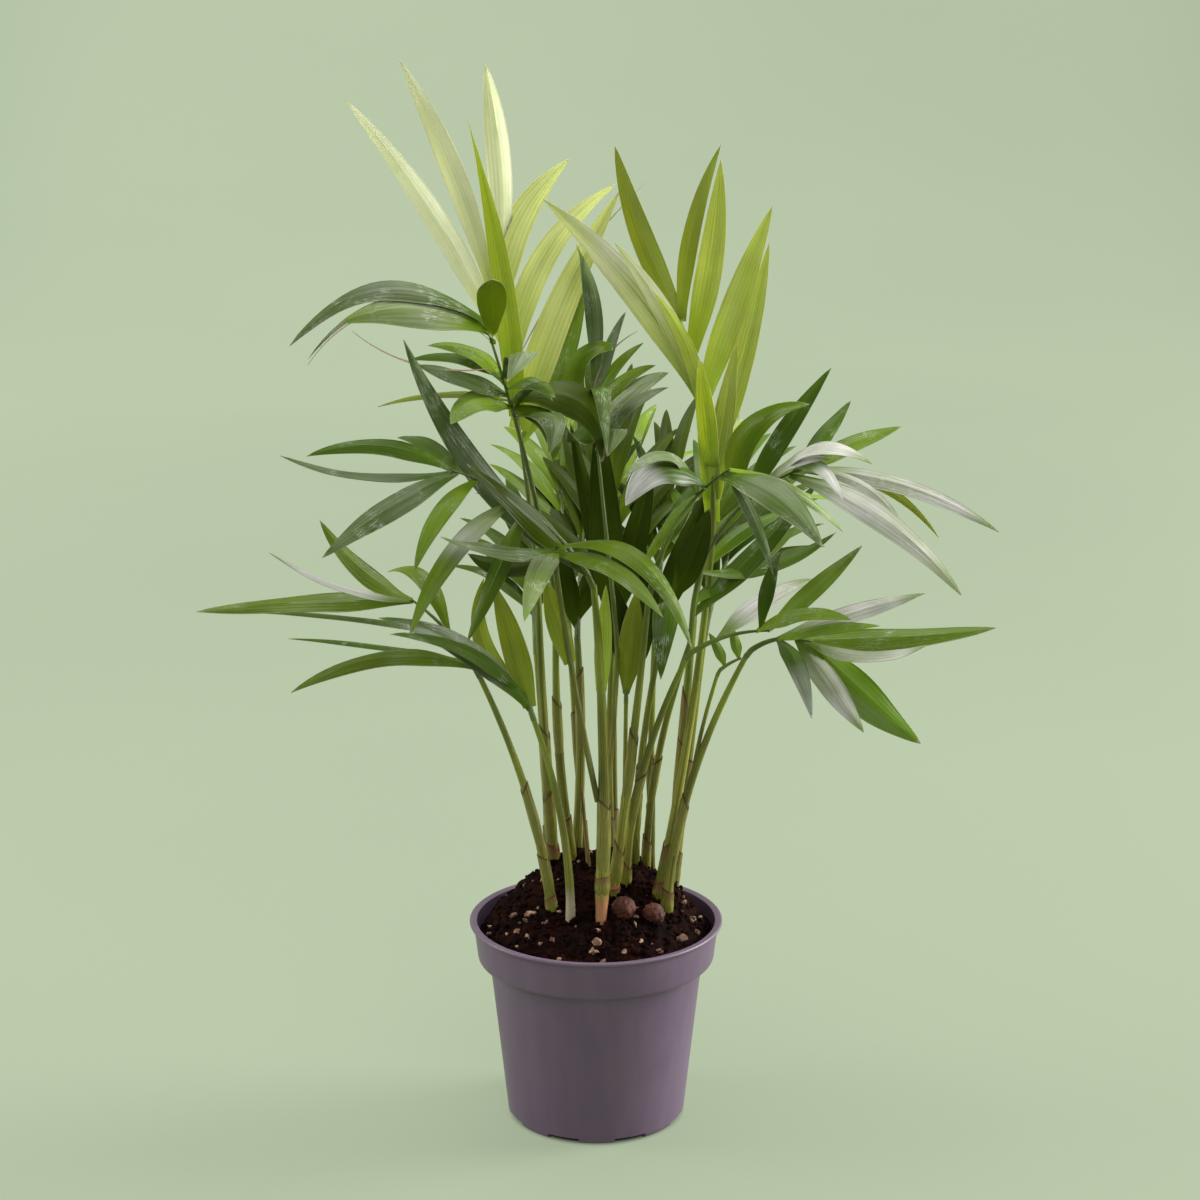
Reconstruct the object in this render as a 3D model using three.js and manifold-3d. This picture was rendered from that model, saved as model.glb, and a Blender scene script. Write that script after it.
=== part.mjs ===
// A young parlour palm: a clump of seedlings in a round nursery pot.
// Millimetres. Z is up, the pot's flat underside lies at z = 0 and the fuller side faces -Y.
//
// Headings are compass angles about Z: 0 points along +X, 90 along +Y, 270 towards -Y.
// A rise is the angle above the horizontal. A bow is how far the middle of a curve stands
// off its chord, as a share of the chord's length.

import * as THREE from "three";
import { mergeVertices } from "three/addons/utils/BufferGeometryUtils.js";
import Module from "manifold-3d";

const wasm = await Module();
wasm.setup();
const { Manifold } = wasm;

// ---------------------------------------------------------------- driving sizes

const CLEARANCE = 0.3; // the least gap between any two solids
const SEAT = CLEARANCE + 0.1; // the gap around a solid that sits in another
const SLIVER = 0.1; // facets smaller than this are merged

const POT = {
  height: 98,
  lipRadius: 60,
  lipThickness: 2.6,
  lipBulge: 0.4,
  lipRoll: 1.2,
  collarTopRadius: 58.2,
  collarFootRadius: 56.2,
  collarFoot: 81.5,
  bodyTopRadius: 50.6,
  bodyTop: 78.2,
  bodyFootRadius: 42.4,
  footRounding: 4,
  footBulge: 0.4,
  wall: 1.6,
  floor: 5,
  sides: 36,
  feet: 8,
  gapAngle: 22,
  gapHeight: 3,
  gapDepth: 8,
  firstGap: 293,
  curveSteps: 3,
};

const SOIL = {
  edge: 91,
  peak: 122,
  peakPlace: [0, 22],
  frontSteepness: 1.3,
  backSteepness: 3,
  sides: 24,
  rings: [1, 0.84, 0.64, 0.42, 0.2],
  stemDepth: 7,
};

// lift: how far a seed's middle stands above the soil, as a share of its radius.
const SEEDS = {
  seed_left: { place: [13, -17], radius: 5.2, lift: 0.2 },
  seed_right: { place: [27, -16], radius: 4.8, lift: 0.2 },
};
const SEED_FACETS = [10, 8];

const STEM = { sides: 6, steps: 6, footFlare: 1.35, flareEnd: 0.2 };
const RIB = { sides: 4, steps: 4, footRadius: 1.5, tipRadius: 0.6 };

// rootWidth, tipThickness: shares of the full width and ridge height that remain there.
// rootEnd, widestAt: shares of a leaflet's length. thinnest: ridge height per length.
const BLADE = {
  steps: 5,
  thinnest: 1 / 90,
  keel: 0.1,
  rootWidth: 0.35,
  rootEnd: 0.3,
  widestAt: 0.4,
  fullness: 0.62,
  tipThickness: 0.75,
};

// ---------------------------------------------------------------- the seedlings

// foot: where the stem leaves the soil. from: where a leaf stalk leaves another stem.
// tip: where its frond begins. bow: sideways, in millimetres. radii: at foot and tip.
const STEMS = {
  stem_centre: { foot: [2, -24], tip: [-1, -10, 263], bow: 3, radii: [3.6, 1.7] },
  stem_left_outer: { foot: [-20, -14], tip: [-54, -14, 222], bow: 5.5, radii: [2.8, 1.4] },
  stem_left_front: { foot: [-12, -23], tip: [-29, -14, 201], bow: 5, radii: [2.6, 1.4] },
  stem_left_tall: { foot: [-20, 25], tip: [-27, 6, 264], bow: -1, radii: [3.2, 1.6] },
  stem_left_inner: { foot: [-11, 20], tip: [-18, -10, 254], bow: -3, radii: [3, 1.5] },
  stem_centre_right: { foot: [7, -7], tip: [24, -12, 257], bow: 1, radii: [3, 1.5] },
  stem_right_front: { foot: [14, 1], tip: [42, -16, 231], bow: -7, radii: [2.6, 1.4] },
  stem_right_slim: { foot: [19, 20], tip: [33, -6, 249], bow: -4, radii: [2.2, 1.4] },
  stem_right_inner: { foot: [24, 28], tip: [44, -6, 236], bow: -5, radii: [2.2, 1.5] },
  stem_right_tall: { foot: [28, -3], tip: [53, 6, 271], bow: 2.5, radii: [2.8, 1.6] },
  stem_right_outer: { foot: [33, -9], tip: [69, -20, 233], bow: -8, radii: [2.9, 1.4] },
  stem_right_sheath: { foot: [35, 20], tip: [46, 24, 238], bow: 0, radii: [2.9, 2] },
  stem_back_left: { foot: [-10, 36], tip: [-9, 40, 225], bow: 2, radii: [3, 1.8] },
  stem_back_centre: { foot: [7, 31], tip: [8, 36, 226], bow: -1, radii: [2.4, 1.6] },
  stem_back_right: { foot: [27, 37], tip: [28, 40, 224], bow: -1, radii: [2.2, 1.5] },
  stem_rear_left: { foot: [-23, 37], tip: [-29, 50, 215], bow: 1, radii: [2.4, 1.5] },
  stem_rear_inner: { foot: [-5, 46], tip: [-14, 60, 238], bow: 0, radii: [2.4, 1.5] },
  stem_rear_centre: { foot: [9, 44], tip: [8, 62, 226], bow: 0, radii: [2.4, 1.5] },
  stem_rear_outer: { foot: [37, 33], tip: [52, 48, 222], bow: 0, radii: [2.4, 1.5] },
  stem_dry_spike: { foot: [-3, 12], tip: [-7, 14, 158], bow: 0, radii: [1.5, 0.5] },
  stalk_centre_left: { from: [-2.8, -17, 188], tip: [-18, -24, 274], bow: -1, radii: [1.7, 1.3] },
  stalk_centre_back: { from: [8.2, -15, 193], tip: [10, -2, 233], bow: 0.7, radii: [1.6, 1.3] },
  stalk_fan: { from: [12, -9, 186], tip: [14, -3, 206], bow: 0, radii: [1.2, 1.1] },
  stalk_right_short: { from: [46, -16, 190], tip: [56, -16, 223], bow: -1, radii: [1.1, 1] },
};

// rib: heading, rise, length, bow. face: the heading and rise that the upper faces turn to.
// Each leaflet is its place along the rib, heading, rise, length, bow and width, and a roll
// about its own length where it has one. pairs: how many pairs of leaflets grow by the rule
// of pairedLeaflets besides, and how long they are.
const FRONDS = {
  frond_young_left: {
    stem: "stem_left_tall", tone: "young", rib: [143, 79, 122, 0.02], face: [270, 10],
    leaflets: [
      [1, 162, 68, 121, 0.04, 10.5],
      [0.87, 190, 58, 132, 0.04, 11],
      [0.98, 240, 86, 114, 0.08, 12],
      [0.6, 212, 80, 138, 0.03, 11],
      [0.96, 35, 61, 82, 0.14, 14],
      [0.75, 39, 53, 105, 0.15, 12],
      [0.55, 27, 64, 118, 0.04, 15],
      [0.5, 48, 58, 83, -0.06, 12],
    ],
  },
  frond_young_right: {
    stem: "stem_right_tall", tone: "bright", rib: [132, 79, 111, 0.08], face: [270, 10],
    leaflets: [
      [1, 157, 67, 84, -0.04, 11],
      [0.99, 48, 71, 83, 0.08, 8],
      [0.86, 331, 81, 89, -0.03, 12],
      [0.66, 34, 66, 94, 0.01, 12.5],
      [0.68, 192, 51, 117, 0.05, 13],
      [0.66, 217, 56, 91, 0.05, 9],
      [0.5, 230, 60, 83, 0.09, 7],
      [0.42, 13, 75, 101, -0.02, 11.5],
      [0.36, 256, 62, 65, 0, 8],
      [0.36, 74, 14, 61, -0.05, 7],
      [0.42, 77, 6, 68, -0.1, 7],
    ],
  },
  frond_arching_left: {
    stem: "stem_left_inner", tone: "deep", rib: [210, 75, 137, 0.02], face: [270, 60],
    leaflets: [
      [1, 188, -6, 86, 0.23, 14],
      [0.97, 222, 8, 81, 0.15, 15],
      [0.95, 159, -10, 91, 0.22, 9, 20],
      [0.92, 272, 41, 52, 0.1, 13],
      [0.8, 165, 15, 73, 0.04, 9],
      [0.78, 225, 28, 51, 0.09, 9],
      [0.74, 230, 20, 67, 0.01, 12],
      [0.72, 146, -7, 76, 0.07, 8],
      [0.7, 245, 5, 59, 0.12, 12],
      [0.76, 283, 23, 58, 0.1, 11],
      [0.68, 291, 16, 57, 0.16, 10],
    ],
  },
  frond_long_left: {
    stem: "stem_centre", tone: "dark", rib: [208, 40, 93, 0.08], face: [270, 45],
    leaflets: [
      [0.06, 197, 53, 139, -0.07, 13],
      [0.12, 221, 39, 96, 0.02, 13],
      [1, 186, 6.5, 63, 0.12, 9],
      [0.95, 117, 3, 70, 0.07, 8],
      [0.98, 164, 1.5, 82, -0.07, 8, 25],
      [0.96, 213, -24, 74, 0.04, 12],
      [0.85, 235, -36, 56, 0.13, 9],
      [0.62, 229, -36, 84, 0.12, 11],
      [0.55, 123, -53, 92, 0, 8],
    ],
  },
  frond_front_tuft: {
    stem: "stalk_centre_left", tone: "dark", rib: [280, 62, 13, 0.1], face: [270, 60],
    leaflets: [
      [0.5, 305, -8, 82, 0.11, 11],
      [0.9, 319, -23, 85, 0.24, 10],
      [0.6, 260, -10, 74, 0.11, 11],
      [0.8, 227, 14, 74, -0.04, 13],
    ],
  },
  frond_low_left: {
    stem: "stem_left_outer", tone: "deep", rib: [206, 50, 50, 0.05], face: [270, 60],
    leaflets: [
      [1, 143, 28, 62, -0.09, 10],
      [0.97, 200, 23, 71, -0.04, 8],
      [0.98, 184, -2, 97, 0.02, 12],
      [0.45, 166, 3, 98, 0.03, 8, 10],
      [0.12, 161, 2, 92, 0.02, 8, 10],
      [0.06, 204, -1, 88, 0.12, 11],
      [0.5, 127, 20, 54, 0.25, 9],
    ],
  },
  frond_low_blade: {
    stem: "stem_left_front", tone: "deep", rib: [146, 60, 29, 0.05], face: [270, 40],
    leaflets: [
      [0.12, 224, 34, 107, 0.08, 12],
      [0.3, 236, 28, 113, 0.07, 8],
      [0.9, 117, 41, 48, -0.2, 8],
      [0.8, 103, 52, 47, 0.2, 13],
    ],
  },
  frond_centre: {
    stem: "stalk_centre_back", tone: "dark", rib: [126, 80, 113, 0], face: [270, 45],
    leaflets: [
      [0.98, 252, 73, 79, 0.17, 8],
      [0.98, 277, 27, 81, 0.4, 10],
      [0.97, 311, 44, 49, 0.11, 7],
      [0.93, 291, 25, 84, 0.06, 8],
      [0.8, 295, 30, 91, 0.08, 11],
      [0.82, 317, 33, 52, 0.04, 8],
      [0.9, 274, 1, 81, 0.3, 10],
      [0.96, 262, 3, 74, -0.12, 11],
      [0.85, 95, 31, 58, 0.3, 9],
      [0.95, 69, 44, 58, 0.09, 6],
    ],
  },
  frond_upper_right: {
    stem: "stem_right_inner", tone: "dark", rib: [339, 59, 97, 0.16], face: [270, 50],
    leaflets: [
      [0.66, 306, 50, 73, 0.33, 12],
      [0.7, 10, 57, 73, 0.03, 10],
      [1, 49, 34, 46, 0.01, 8],
      [0.98, 33, 13, 62, 0.03, 10],
      [0.85, 304, 17, 75, 0.16, 10],
      [0.99, 353, -16, 94, 0.08, 10],
      [0.95, 326, -26.5, 98, 0.09, 13],
      [0.97, 28, -26, 90, 0.12, 8],
      [0.96, 288, 0, 60, 0.16, 8],
      [0.8, 307, 25, 52, 0.12, 10],
      [0.93, 69, -16, 91, -0.05, 7],
      [0.3, 37, 5, 83, -0.08, 8],
      [0.1, 32, 38, 89, -0.02, 11],
      [0.16, 50, 15, 84, 0, 12],
    ],
  },
  frond_centre_right: {
    stem: "stem_centre_right", tone: "deep", rib: [316, 54, 83, 0.1], face: [270, 50],
    leaflets: [
      [0.8, 241, 5, 75, 0.17, 13],
      [0.72, 232, 17, 57, 0.25, 8],
      [0.92, 312, -19, 66, 0.13, 16],
      [0.97, 331, -62, 50, 0.05, 8],
      [0.99, 26, -30, 68, 0.08, 7],
      [0.3, 58, 39, 43, 0.05, 9],
    ],
  },
  frond_inner_right: {
    stem: "stem_right_slim", tone: "dark", rib: [311, 67, 13, 0], face: [270, 30],
    leaflets: [
      [0.6, 294, 53, 62, -0.03, 13],
      [0.4, 264, -21, 59, 0.2, 12],
    ],
  },
  frond_lower_right: {
    stem: "stem_right_front", tone: "dark", rib: [331, 22, 44, 0.07], face: [270, 45],
    leaflets: [
      [0.97, 30, 33, 61, 0, 9],
      [0.9, 285, 57, 53, 0.09, 8],
      [0.4, 40, 17, 63, 0.08, 10],
      [0.85, 312, 16, 60, 0.09, 9],
    ],
  },
  frond_far_right: {
    stem: "stem_right_outer", tone: "deep", rib: [324, 17, 35, 0.11], face: [270, 50],
    leaflets: [
      [0.5, 16, 13, 73, 0.02, 10],
      [0.45, 308, 17, 71, 0.03, 8],
      [0.85, 351, 6, 87, -0.02, 12],
      [0.9, 312, 10, 74, -0.08, 8],
      [0.8, 324, -41, 64, -0.04, 14],
      [0.98, 313, -26, 73, 0.04, 16],
      [0.5, 283, -22, 58, 0.13, 9],
    ],
  },
  frond_small_right: {
    stem: "stalk_right_short", tone: "deep", rib: [5, 30, 12, 0.05], face: [270, 45],
    leaflets: [
      [0.3, 150, 60, 17, 0.05, 5],
      [0.9, 120, 62, 16, 0.05, 5],
    ],
  },
  frond_fan: {
    stem: "stalk_fan", tone: "bright", rib: [90, 70, 12, 0], face: [270, 10],
    leaflets: [
      [0.2, 150, 80, 48, 0, 12],
      [0.5, 20, 72, 54, 0.03, 14],
      [0.9, 60, 80, 46, 0.03, 12],
    ],
  },
  frond_back_left: {
    stem: "stem_back_left", tone: "deep", rib: [84, 50, 76, 0.08], face: [270, 50],
    leaflets: [
      [0.05, 180, 74, 52, 0, 13],
      [0.1, 5, 70, 42, 0, 11],
    ],
    pairs: { count: 3, length: 74 },
  },
  frond_back_centre: {
    stem: "stem_back_centre", tone: "dark", rib: [88, 56, 84, 0.05], face: [270, 40],
    leaflets: [
      [0.02, 176, 86, 104, 0, 16],
      [0.08, 174, 78, 98, 0, 9],
      [0.06, 8, 76, 80, 0, 13],
    ],
    pairs: { count: 3, length: 80 },
  },
  frond_back_right: {
    stem: "stem_back_right", tone: "dark", rib: [80, 50, 78, 0.08], face: [270, 40],
    leaflets: [
      [0.04, 8, 70, 72, 0, 13],
      [0.08, 170, 76, 48, 0, 13],
    ],
    pairs: { count: 3, length: 78 },
  },
  frond_back_sheath: {
    stem: "stem_right_sheath", tone: "bright", rib: [70, 50, 70, 0.08], face: [270, 50],
    leaflets: [],
    pairs: { count: 3, length: 66 },
  },
  frond_rear_left: {
    stem: "stem_rear_left", tone: "dark", rib: [96, 44, 64, 0.12], face: [270, 60],
    leaflets: [],
    pairs: { count: 4, length: 62 },
  },
  frond_rear_inner: {
    stem: "stem_rear_inner", tone: "bright", rib: [96, 44, 80, 0.12], face: [270, 60],
    leaflets: [],
    pairs: { count: 4, length: 76 },
  },
  frond_rear_centre: {
    stem: "stem_rear_centre", tone: "deep", rib: [86, 38, 86, 0.12], face: [270, 60],
    leaflets: [],
    pairs: { count: 4, length: 84 },
  },
  frond_rear_outer: {
    stem: "stem_rear_outer", tone: "dark", rib: [62, 42, 68, 0.12], face: [270, 60],
    leaflets: [],
    pairs: { count: 4, length: 70 },
  },
};

// Spreads, droop and jitter in degrees. riseShare: of the rib's own rise. The longest
// leaflet grows at longestAt of the row and the others lose reachLoss of their length.
const PAIRED = {
  firstPlace: 0.4,
  stagger: 0.05,
  baseSpread: 40,
  tipSpread: 12,
  riseShare: 0.75,
  droop: 16,
  longestAt: 0.4,
  reachLoss: 0.3,
  bow: 0.1,
  width: 12,
  jitter: 5,
  unevenness: 0.06,
  seed: 7,
};

// ---------------------------------------------------------------- materials

const FINISHES = {
  pot: { color: 0x5d515a, roughness: 0.55, metalness: 0 },
  soil: { color: 0x2a1c17, roughness: 0.95, metalness: 0 },
  seed: { color: 0x4a2c20, roughness: 0.8, metalness: 0 },
  stem: { color: 0x7f9440, roughness: 0.5, metalness: 0 },
  dry: { color: 0x6b4a2f, roughness: 0.8, metalness: 0 },
  young: { color: 0xc3cf6e, roughness: 0.45, metalness: 0 },
  bright: { color: 0x86a431, roughness: 0.4, metalness: 0 },
  deep: { color: 0x4c7226, roughness: 0.35, metalness: 0 },
  dark: { color: 0x35541f, roughness: 0.35, metalness: 0 },
};

// ---------------------------------------------------------------- shaping helpers

function direction(heading, rise) {
  const h = THREE.MathUtils.degToRad(heading);
  const r = THREE.MathUtils.degToRad(rise);
  return new THREE.Vector3(Math.cos(h) * Math.cos(r), Math.sin(h) * Math.cos(r), Math.sin(r));
}

// A curve with the given chord, bowed upwards in the upright plane of the chord.
function bowedCurve(start, [heading, rise, length, bow]) {
  const end = start.clone().addScaledVector(direction(heading, rise), length);
  const control = start.clone().lerp(end, 0.5);
  control.addScaledVector(direction(heading, rise + 90), 2 * bow * length);
  return new THREE.QuadraticBezierCurve3(start, control, end);
}

// Seeded random numbers between -1 and 1.
function seededNoise(seed) {
  let state = seed;
  return () => {
    state = (state * 16807) % 2147483647;
    return (2 * state) / 2147483647 - 1;
  };
}

// Bends a cylinder or cone of unit radius and height, standing on Y, along a curve.
// section(t, x, z) gives the sideways and facing offsets of a point of the unit section.
function bendAlong(geometry, curve, face, section) {
  const place = geometry.getAttribute("position");
  const tapers = geometry.type === "ConeGeometry";
  for (let i = 0; i < place.count; i += 1) {
    const t = place.getY(i) + 0.5;
    const reach = tapers ? Math.max(1 - t, 1e-6) : 1;
    const tangent = curve.getTangent(t);
    const side = tangent.clone().cross(face).normalize();
    const up = side.clone().cross(tangent);
    const [across, out] = section(t, place.getX(i) / reach, place.getZ(i) / reach);
    const point = curve.getPoint(t).addScaledVector(side, across).addScaledVector(up, out);
    place.setXYZ(i, point.x, point.y, point.z);
  }
  return geometry;
}

function toSolid(geometry) {
  const bare = geometry.clone();
  bare.deleteAttribute("normal");
  bare.deleteAttribute("uv");
  const welded = mergeVertices(bare, 1e-4);
  const solid = new Manifold(new wasm.Mesh({
    numProp: 3,
    vertProperties: new Float32Array(welded.getAttribute("position").array),
    triVerts: new Uint32Array(welded.index.array),
  }));
  return solid.volume() < 0 ? solid.mirror([1, 0, 0]).mirror([1, 0, 0]) : solid;
}

function toGeometry(solid) {
  const mesh = solid.getMesh();
  const geometry = new THREE.BufferGeometry();
  geometry.setAttribute("position", new THREE.BufferAttribute(mesh.vertProperties, 3));
  geometry.setIndex(new THREE.BufferAttribute(mesh.triVerts, 1));
  geometry.computeVertexNormals();
  return geometry;
}

// The one body that counts: loose scraps and sealed hollows are dropped.
function mainBody(solid) {
  return solid.decompose().sort((a, b) => b.volume() - a.volume())[0];
}

function joined(solids) {
  return mainBody(Manifold.union(solids)).simplify(SLIVER);
}

function boxesMeet(a, b, margin) {
  const [p, q] = [a.boundingBox(), b.boundingBox()];
  return [0, 1, 2].every((k) => p.min[k] < q.max[k] + margin && q.min[k] < p.max[k] + margin);
}

// The name of a solid that comes nearer than the clearance, or undefined.
function obstacle(solid, others) {
  const near = ([, other]) => boxesMeet(solid, other, CLEARANCE) && solid.minGap(other, 1) < CLEARANCE;
  return [...others].find(near)?.[0];
}

// ---------------------------------------------------------------- the pot

function potOutline() {
  const p = POT;
  const lipFoot = p.height - p.lipThickness;
  const inset = p.wall;
  const path = new THREE.Path();
  path.moveTo(0, 0);
  path.lineTo(p.bodyFootRadius - p.footRounding, 0);
  path.quadraticCurveTo(p.bodyFootRadius, 0, p.bodyFootRadius + p.footBulge, p.footRounding);
  path.lineTo(p.bodyTopRadius, p.bodyTop);
  path.quadraticCurveTo(p.collarFootRadius - p.lipBulge, p.bodyTop, p.collarFootRadius, p.collarFoot);
  path.lineTo(p.collarTopRadius, lipFoot);
  path.lineTo(p.lipRadius - p.lipBulge, lipFoot);
  path.quadraticCurveTo(p.lipRadius + p.lipBulge, p.height, p.lipRadius - p.lipRoll, p.height);
  path.lineTo(p.collarTopRadius - inset, p.height - p.lipRoll / 2);
  path.lineTo(p.collarFootRadius - inset, p.collarFoot);
  path.lineTo(p.bodyTopRadius - inset, p.bodyTop);
  path.lineTo(p.bodyFootRadius - inset, p.floor);
  path.lineTo(0, p.floor);
  return path.getPoints(p.curveSteps);
}

function buildPot() {
  const lathe = new THREE.LatheGeometry(potOutline(), POT.sides);
  lathe.rotateX(Math.PI / 2);
  let pot = toSolid(lathe);
  const gapWidth = 2 * POT.bodyFootRadius * Math.sin(THREE.MathUtils.degToRad(POT.gapAngle / 2));
  for (let i = 0; i < POT.feet; i += 1) {
    const gap = new THREE.BoxGeometry(2 * POT.gapDepth, gapWidth, 2 * POT.gapHeight);
    gap.translate(POT.bodyFootRadius, 0, 0);
    gap.rotateZ(THREE.MathUtils.degToRad(POT.firstGap + (360 / POT.feet) * i));
    pot = pot.subtract(toSolid(gap));
  }
  return pot;
}

// ---------------------------------------------------------------- the soil and seeds

function wallRadius(z) {
  const p = POT;
  const onCollar = z > p.collarFoot;
  const [r0, z0, r1, z1] = onCollar
    ? [p.collarFootRadius, p.collarFoot, p.collarTopRadius, p.height]
    : [p.bodyFootRadius, p.floor, p.bodyTopRadius, p.bodyTop];
  return r0 + ((r1 - r0) * (z - z0)) / (z1 - z0) - p.wall - SEAT;
}

// The mound falls from its peak to an even edge against the wall, slowly at the back.
function soilHeight(x, y) {
  const [px, py] = SOIL.peakPlace;
  const away = new THREE.Vector2(x - px, y - py);
  const distance = away.length();
  if (distance < 1e-6) {
    return SOIL.peak;
  }
  away.divideScalar(distance);
  const along = px * away.x + py * away.y;
  const edgeRadius = wallRadius(SOIL.edge);
  const toWall = -along + Math.sqrt(along ** 2 - px ** 2 - py ** 2 + edgeRadius ** 2);
  const share = Math.min(1, distance / toWall);
  const middle = (SOIL.frontSteepness + SOIL.backSteepness) / 2;
  const steepness = middle + (SOIL.backSteepness - middle) * away.y;
  return SOIL.edge + (SOIL.peak - SOIL.edge) * (1 - share ** steepness);
}

function buildSoil() {
  const floor = POT.floor + SEAT;
  const edgeRadius = wallRadius(SOIL.edge);
  const ledge = POT.collarFoot + 1;
  const outline = [
    new THREE.Vector2(0, floor),
    new THREE.Vector2(wallRadius(floor), floor),
    new THREE.Vector2(wallRadius(POT.bodyTop), POT.bodyTop),
    new THREE.Vector2(wallRadius(ledge), ledge),
  ];
  SOIL.rings.forEach((share) => outline.push(new THREE.Vector2(edgeRadius * share, SOIL.edge)));
  outline.push(new THREE.Vector2(0, SOIL.edge));
  const lathe = new THREE.LatheGeometry(outline, SOIL.sides);
  lathe.rotateX(Math.PI / 2);
  const place = lathe.getAttribute("position");
  for (let i = 0; i < place.count; i += 1) {
    if (place.getZ(i) > SOIL.edge - 1e-3) {
      place.setZ(i, soilHeight(place.getX(i), place.getY(i)));
    }
  }
  return toSolid(lathe);
}

function buildSeed({ place, radius, lift }, extra = 0) {
  const [x, y] = place;
  const ball = new THREE.SphereGeometry(radius + extra, ...SEED_FACETS);
  ball.translate(x, y, soilHeight(x, y) + radius * lift);
  return toSolid(ball);
}

// ---------------------------------------------------------------- stems

function stemCurve({ foot, from, tip, bow }) {
  const start = from
    ? new THREE.Vector3(...from)
    : new THREE.Vector3(foot[0], foot[1], soilHeight(...foot) - SOIL.stemDepth);
  const end = new THREE.Vector3(...tip);
  const control = start.clone().lerp(end, 0.5).add(new THREE.Vector3(2 * bow, 0, 0));
  return new THREE.QuadraticBezierCurve3(start, control, end);
}

function buildStem(stem, extra = 0) {
  const [footRadius, tipRadius] = stem.radii;
  const flare = stem.foot ? STEM.footFlare - 1 : 0;
  const thickness = (t) => {
    const taper = THREE.MathUtils.lerp(footRadius, tipRadius, t);
    return taper * (1 + flare * Math.max(0, 1 - t / STEM.flareEnd)) + extra;
  };
  const tube = new THREE.CylinderGeometry(1, 1, 1, STEM.sides, STEM.steps);
  const front = new THREE.Vector3(0, -1, 0);
  return toSolid(bendAlong(tube, stemCurve(stem), front, (t, x, z) => [x * thickness(t), z * thickness(t)]));
}

// ---------------------------------------------------------------- fronds

function bladeWidth(t) {
  const root = BLADE.rootWidth + (1 - BLADE.rootWidth) * Math.min(1, t / BLADE.rootEnd);
  const beyond = Math.max(0, (t - BLADE.widestAt) / (1 - BLADE.widestAt));
  return root * Math.cos((beyond * Math.PI) / 2) ** BLADE.fullness;
}

// A leaflet is a thin blade of three-sided section, ridged along its upper face.
function buildBlade(start, [heading, rise, length, bow, width, roll = 0], face) {
  const curve = bowedCurve(start, [heading, rise, length, bow]);
  const turned = face.clone().applyAxisAngle(direction(heading, rise), THREE.MathUtils.degToRad(roll));
  const ridge = Math.max(length * BLADE.thinnest, width * BLADE.keel);
  const cone = new THREE.ConeGeometry(1, 1, 3, BLADE.steps);
  const halfSide = Math.sin(Math.PI / 3);
  return toSolid(bendAlong(cone, curve, turned, (t, x, z) => [
    (x / halfSide) * (width / 2) * bladeWidth(t),
    ((z + 0.5) / 1.5) * ridge * (t < 1 ? Math.max(bladeWidth(t), BLADE.tipThickness) : 0),
  ]));
}

function ribOf(frond) {
  const stem = stemCurve(STEMS[frond.stem]);
  const footRadius = Math.min(STEMS[frond.stem].radii[1], RIB.footRadius);
  const lean = bowedCurve(stem.v2, frond.rib).getTangent(0).angleTo(stem.getTangent(1));
  const gap = SEAT + footRadius * Math.sin(lean);
  const start = stem.getPoint(1).addScaledVector(stem.getTangent(1), gap);
  return { curve: bowedCurve(start, frond.rib), footRadius };
}

function buildRib({ curve, footRadius }, face) {
  const tube = new THREE.CylinderGeometry(1, 1, 1, RIB.sides, RIB.steps);
  const thickness = (t) => THREE.MathUtils.lerp(footRadius, RIB.tipRadius, t);
  return toSolid(bendAlong(tube, curve, face, (t, x, z) => [x * thickness(t), z * thickness(t)]));
}

// Leaflets in pairs that close towards the tip of the rib, with a seeded unevenness.
function pairedLeaflets({ rib, pairs }, noise) {
  const [heading, rise] = rib;
  const { count, length } = pairs;
  const rows = [];
  for (let i = 0; i < count; i += 1) {
    const share = i / (count - 1);
    const place = THREE.MathUtils.lerp(PAIRED.firstPlace, 1, share);
    const spread = THREE.MathUtils.lerp(PAIRED.baseSpread, PAIRED.tipSpread, share);
    const reach = length * (1 - PAIRED.reachLoss * Math.abs(share - PAIRED.longestAt));
    for (const side of [-1, 1]) {
      rows.push([
        place - (side > 0 ? PAIRED.stagger : 0),
        heading + side * spread + PAIRED.jitter * noise(),
        rise * PAIRED.riseShare - PAIRED.droop * (1 - share) + PAIRED.jitter * noise(),
        reach * (1 + PAIRED.unevenness * noise()),
        PAIRED.bow * (1 + 5 * PAIRED.unevenness * noise()),
        PAIRED.width * (1 + 2 * PAIRED.unevenness * noise()),
      ]);
    }
  }
  return rows;
}

// A leaflet that meets something is swung a little aside, then shortened, then left out.
const NUDGES = [[0, 0], [4, 0], [-4, 0], [0, 4], [0, -4], [8, 3], [-8, 3], [8, -3], [-8, -3], [13, 0], [-13, 0]];
const SHORTER = [1, 0.85, 0.7];

function fitBlade(start, row, face, others) {
  for (const share of SHORTER) {
    for (const [turn, lift] of NUDGES) {
      const [heading, rise, length, ...rest] = row;
      const blade = buildBlade(start, [heading + turn, rise + lift, length * share, ...rest], face);
      if (!obstacle(blade, others)) {
        return blade;
      }
    }
  }
  return null;
}

function buildFrond(name, frond, noise, others) {
  const face = direction(...frond.face);
  const rib = ribOf(frond);
  const ribSolid = buildRib(rib, face);
  const met = obstacle(ribSolid, others);
  if (met) {
    throw new Error(`the rib of ${name} meets ${met}`);
  }
  const solids = [ribSolid];
  const paired = frond.pairs ? pairedLeaflets(frond, noise) : [];
  for (const [place, ...row] of [...frond.leaflets, ...paired]) {
    const blade = fitBlade(rib.curve.getPoint(place), row, face, others);
    if (blade) {
      solids.push(blade);
    }
  }
  return joined(solids);
}

// ---------------------------------------------------------------- the assembly

const palm = new THREE.Group();

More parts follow.
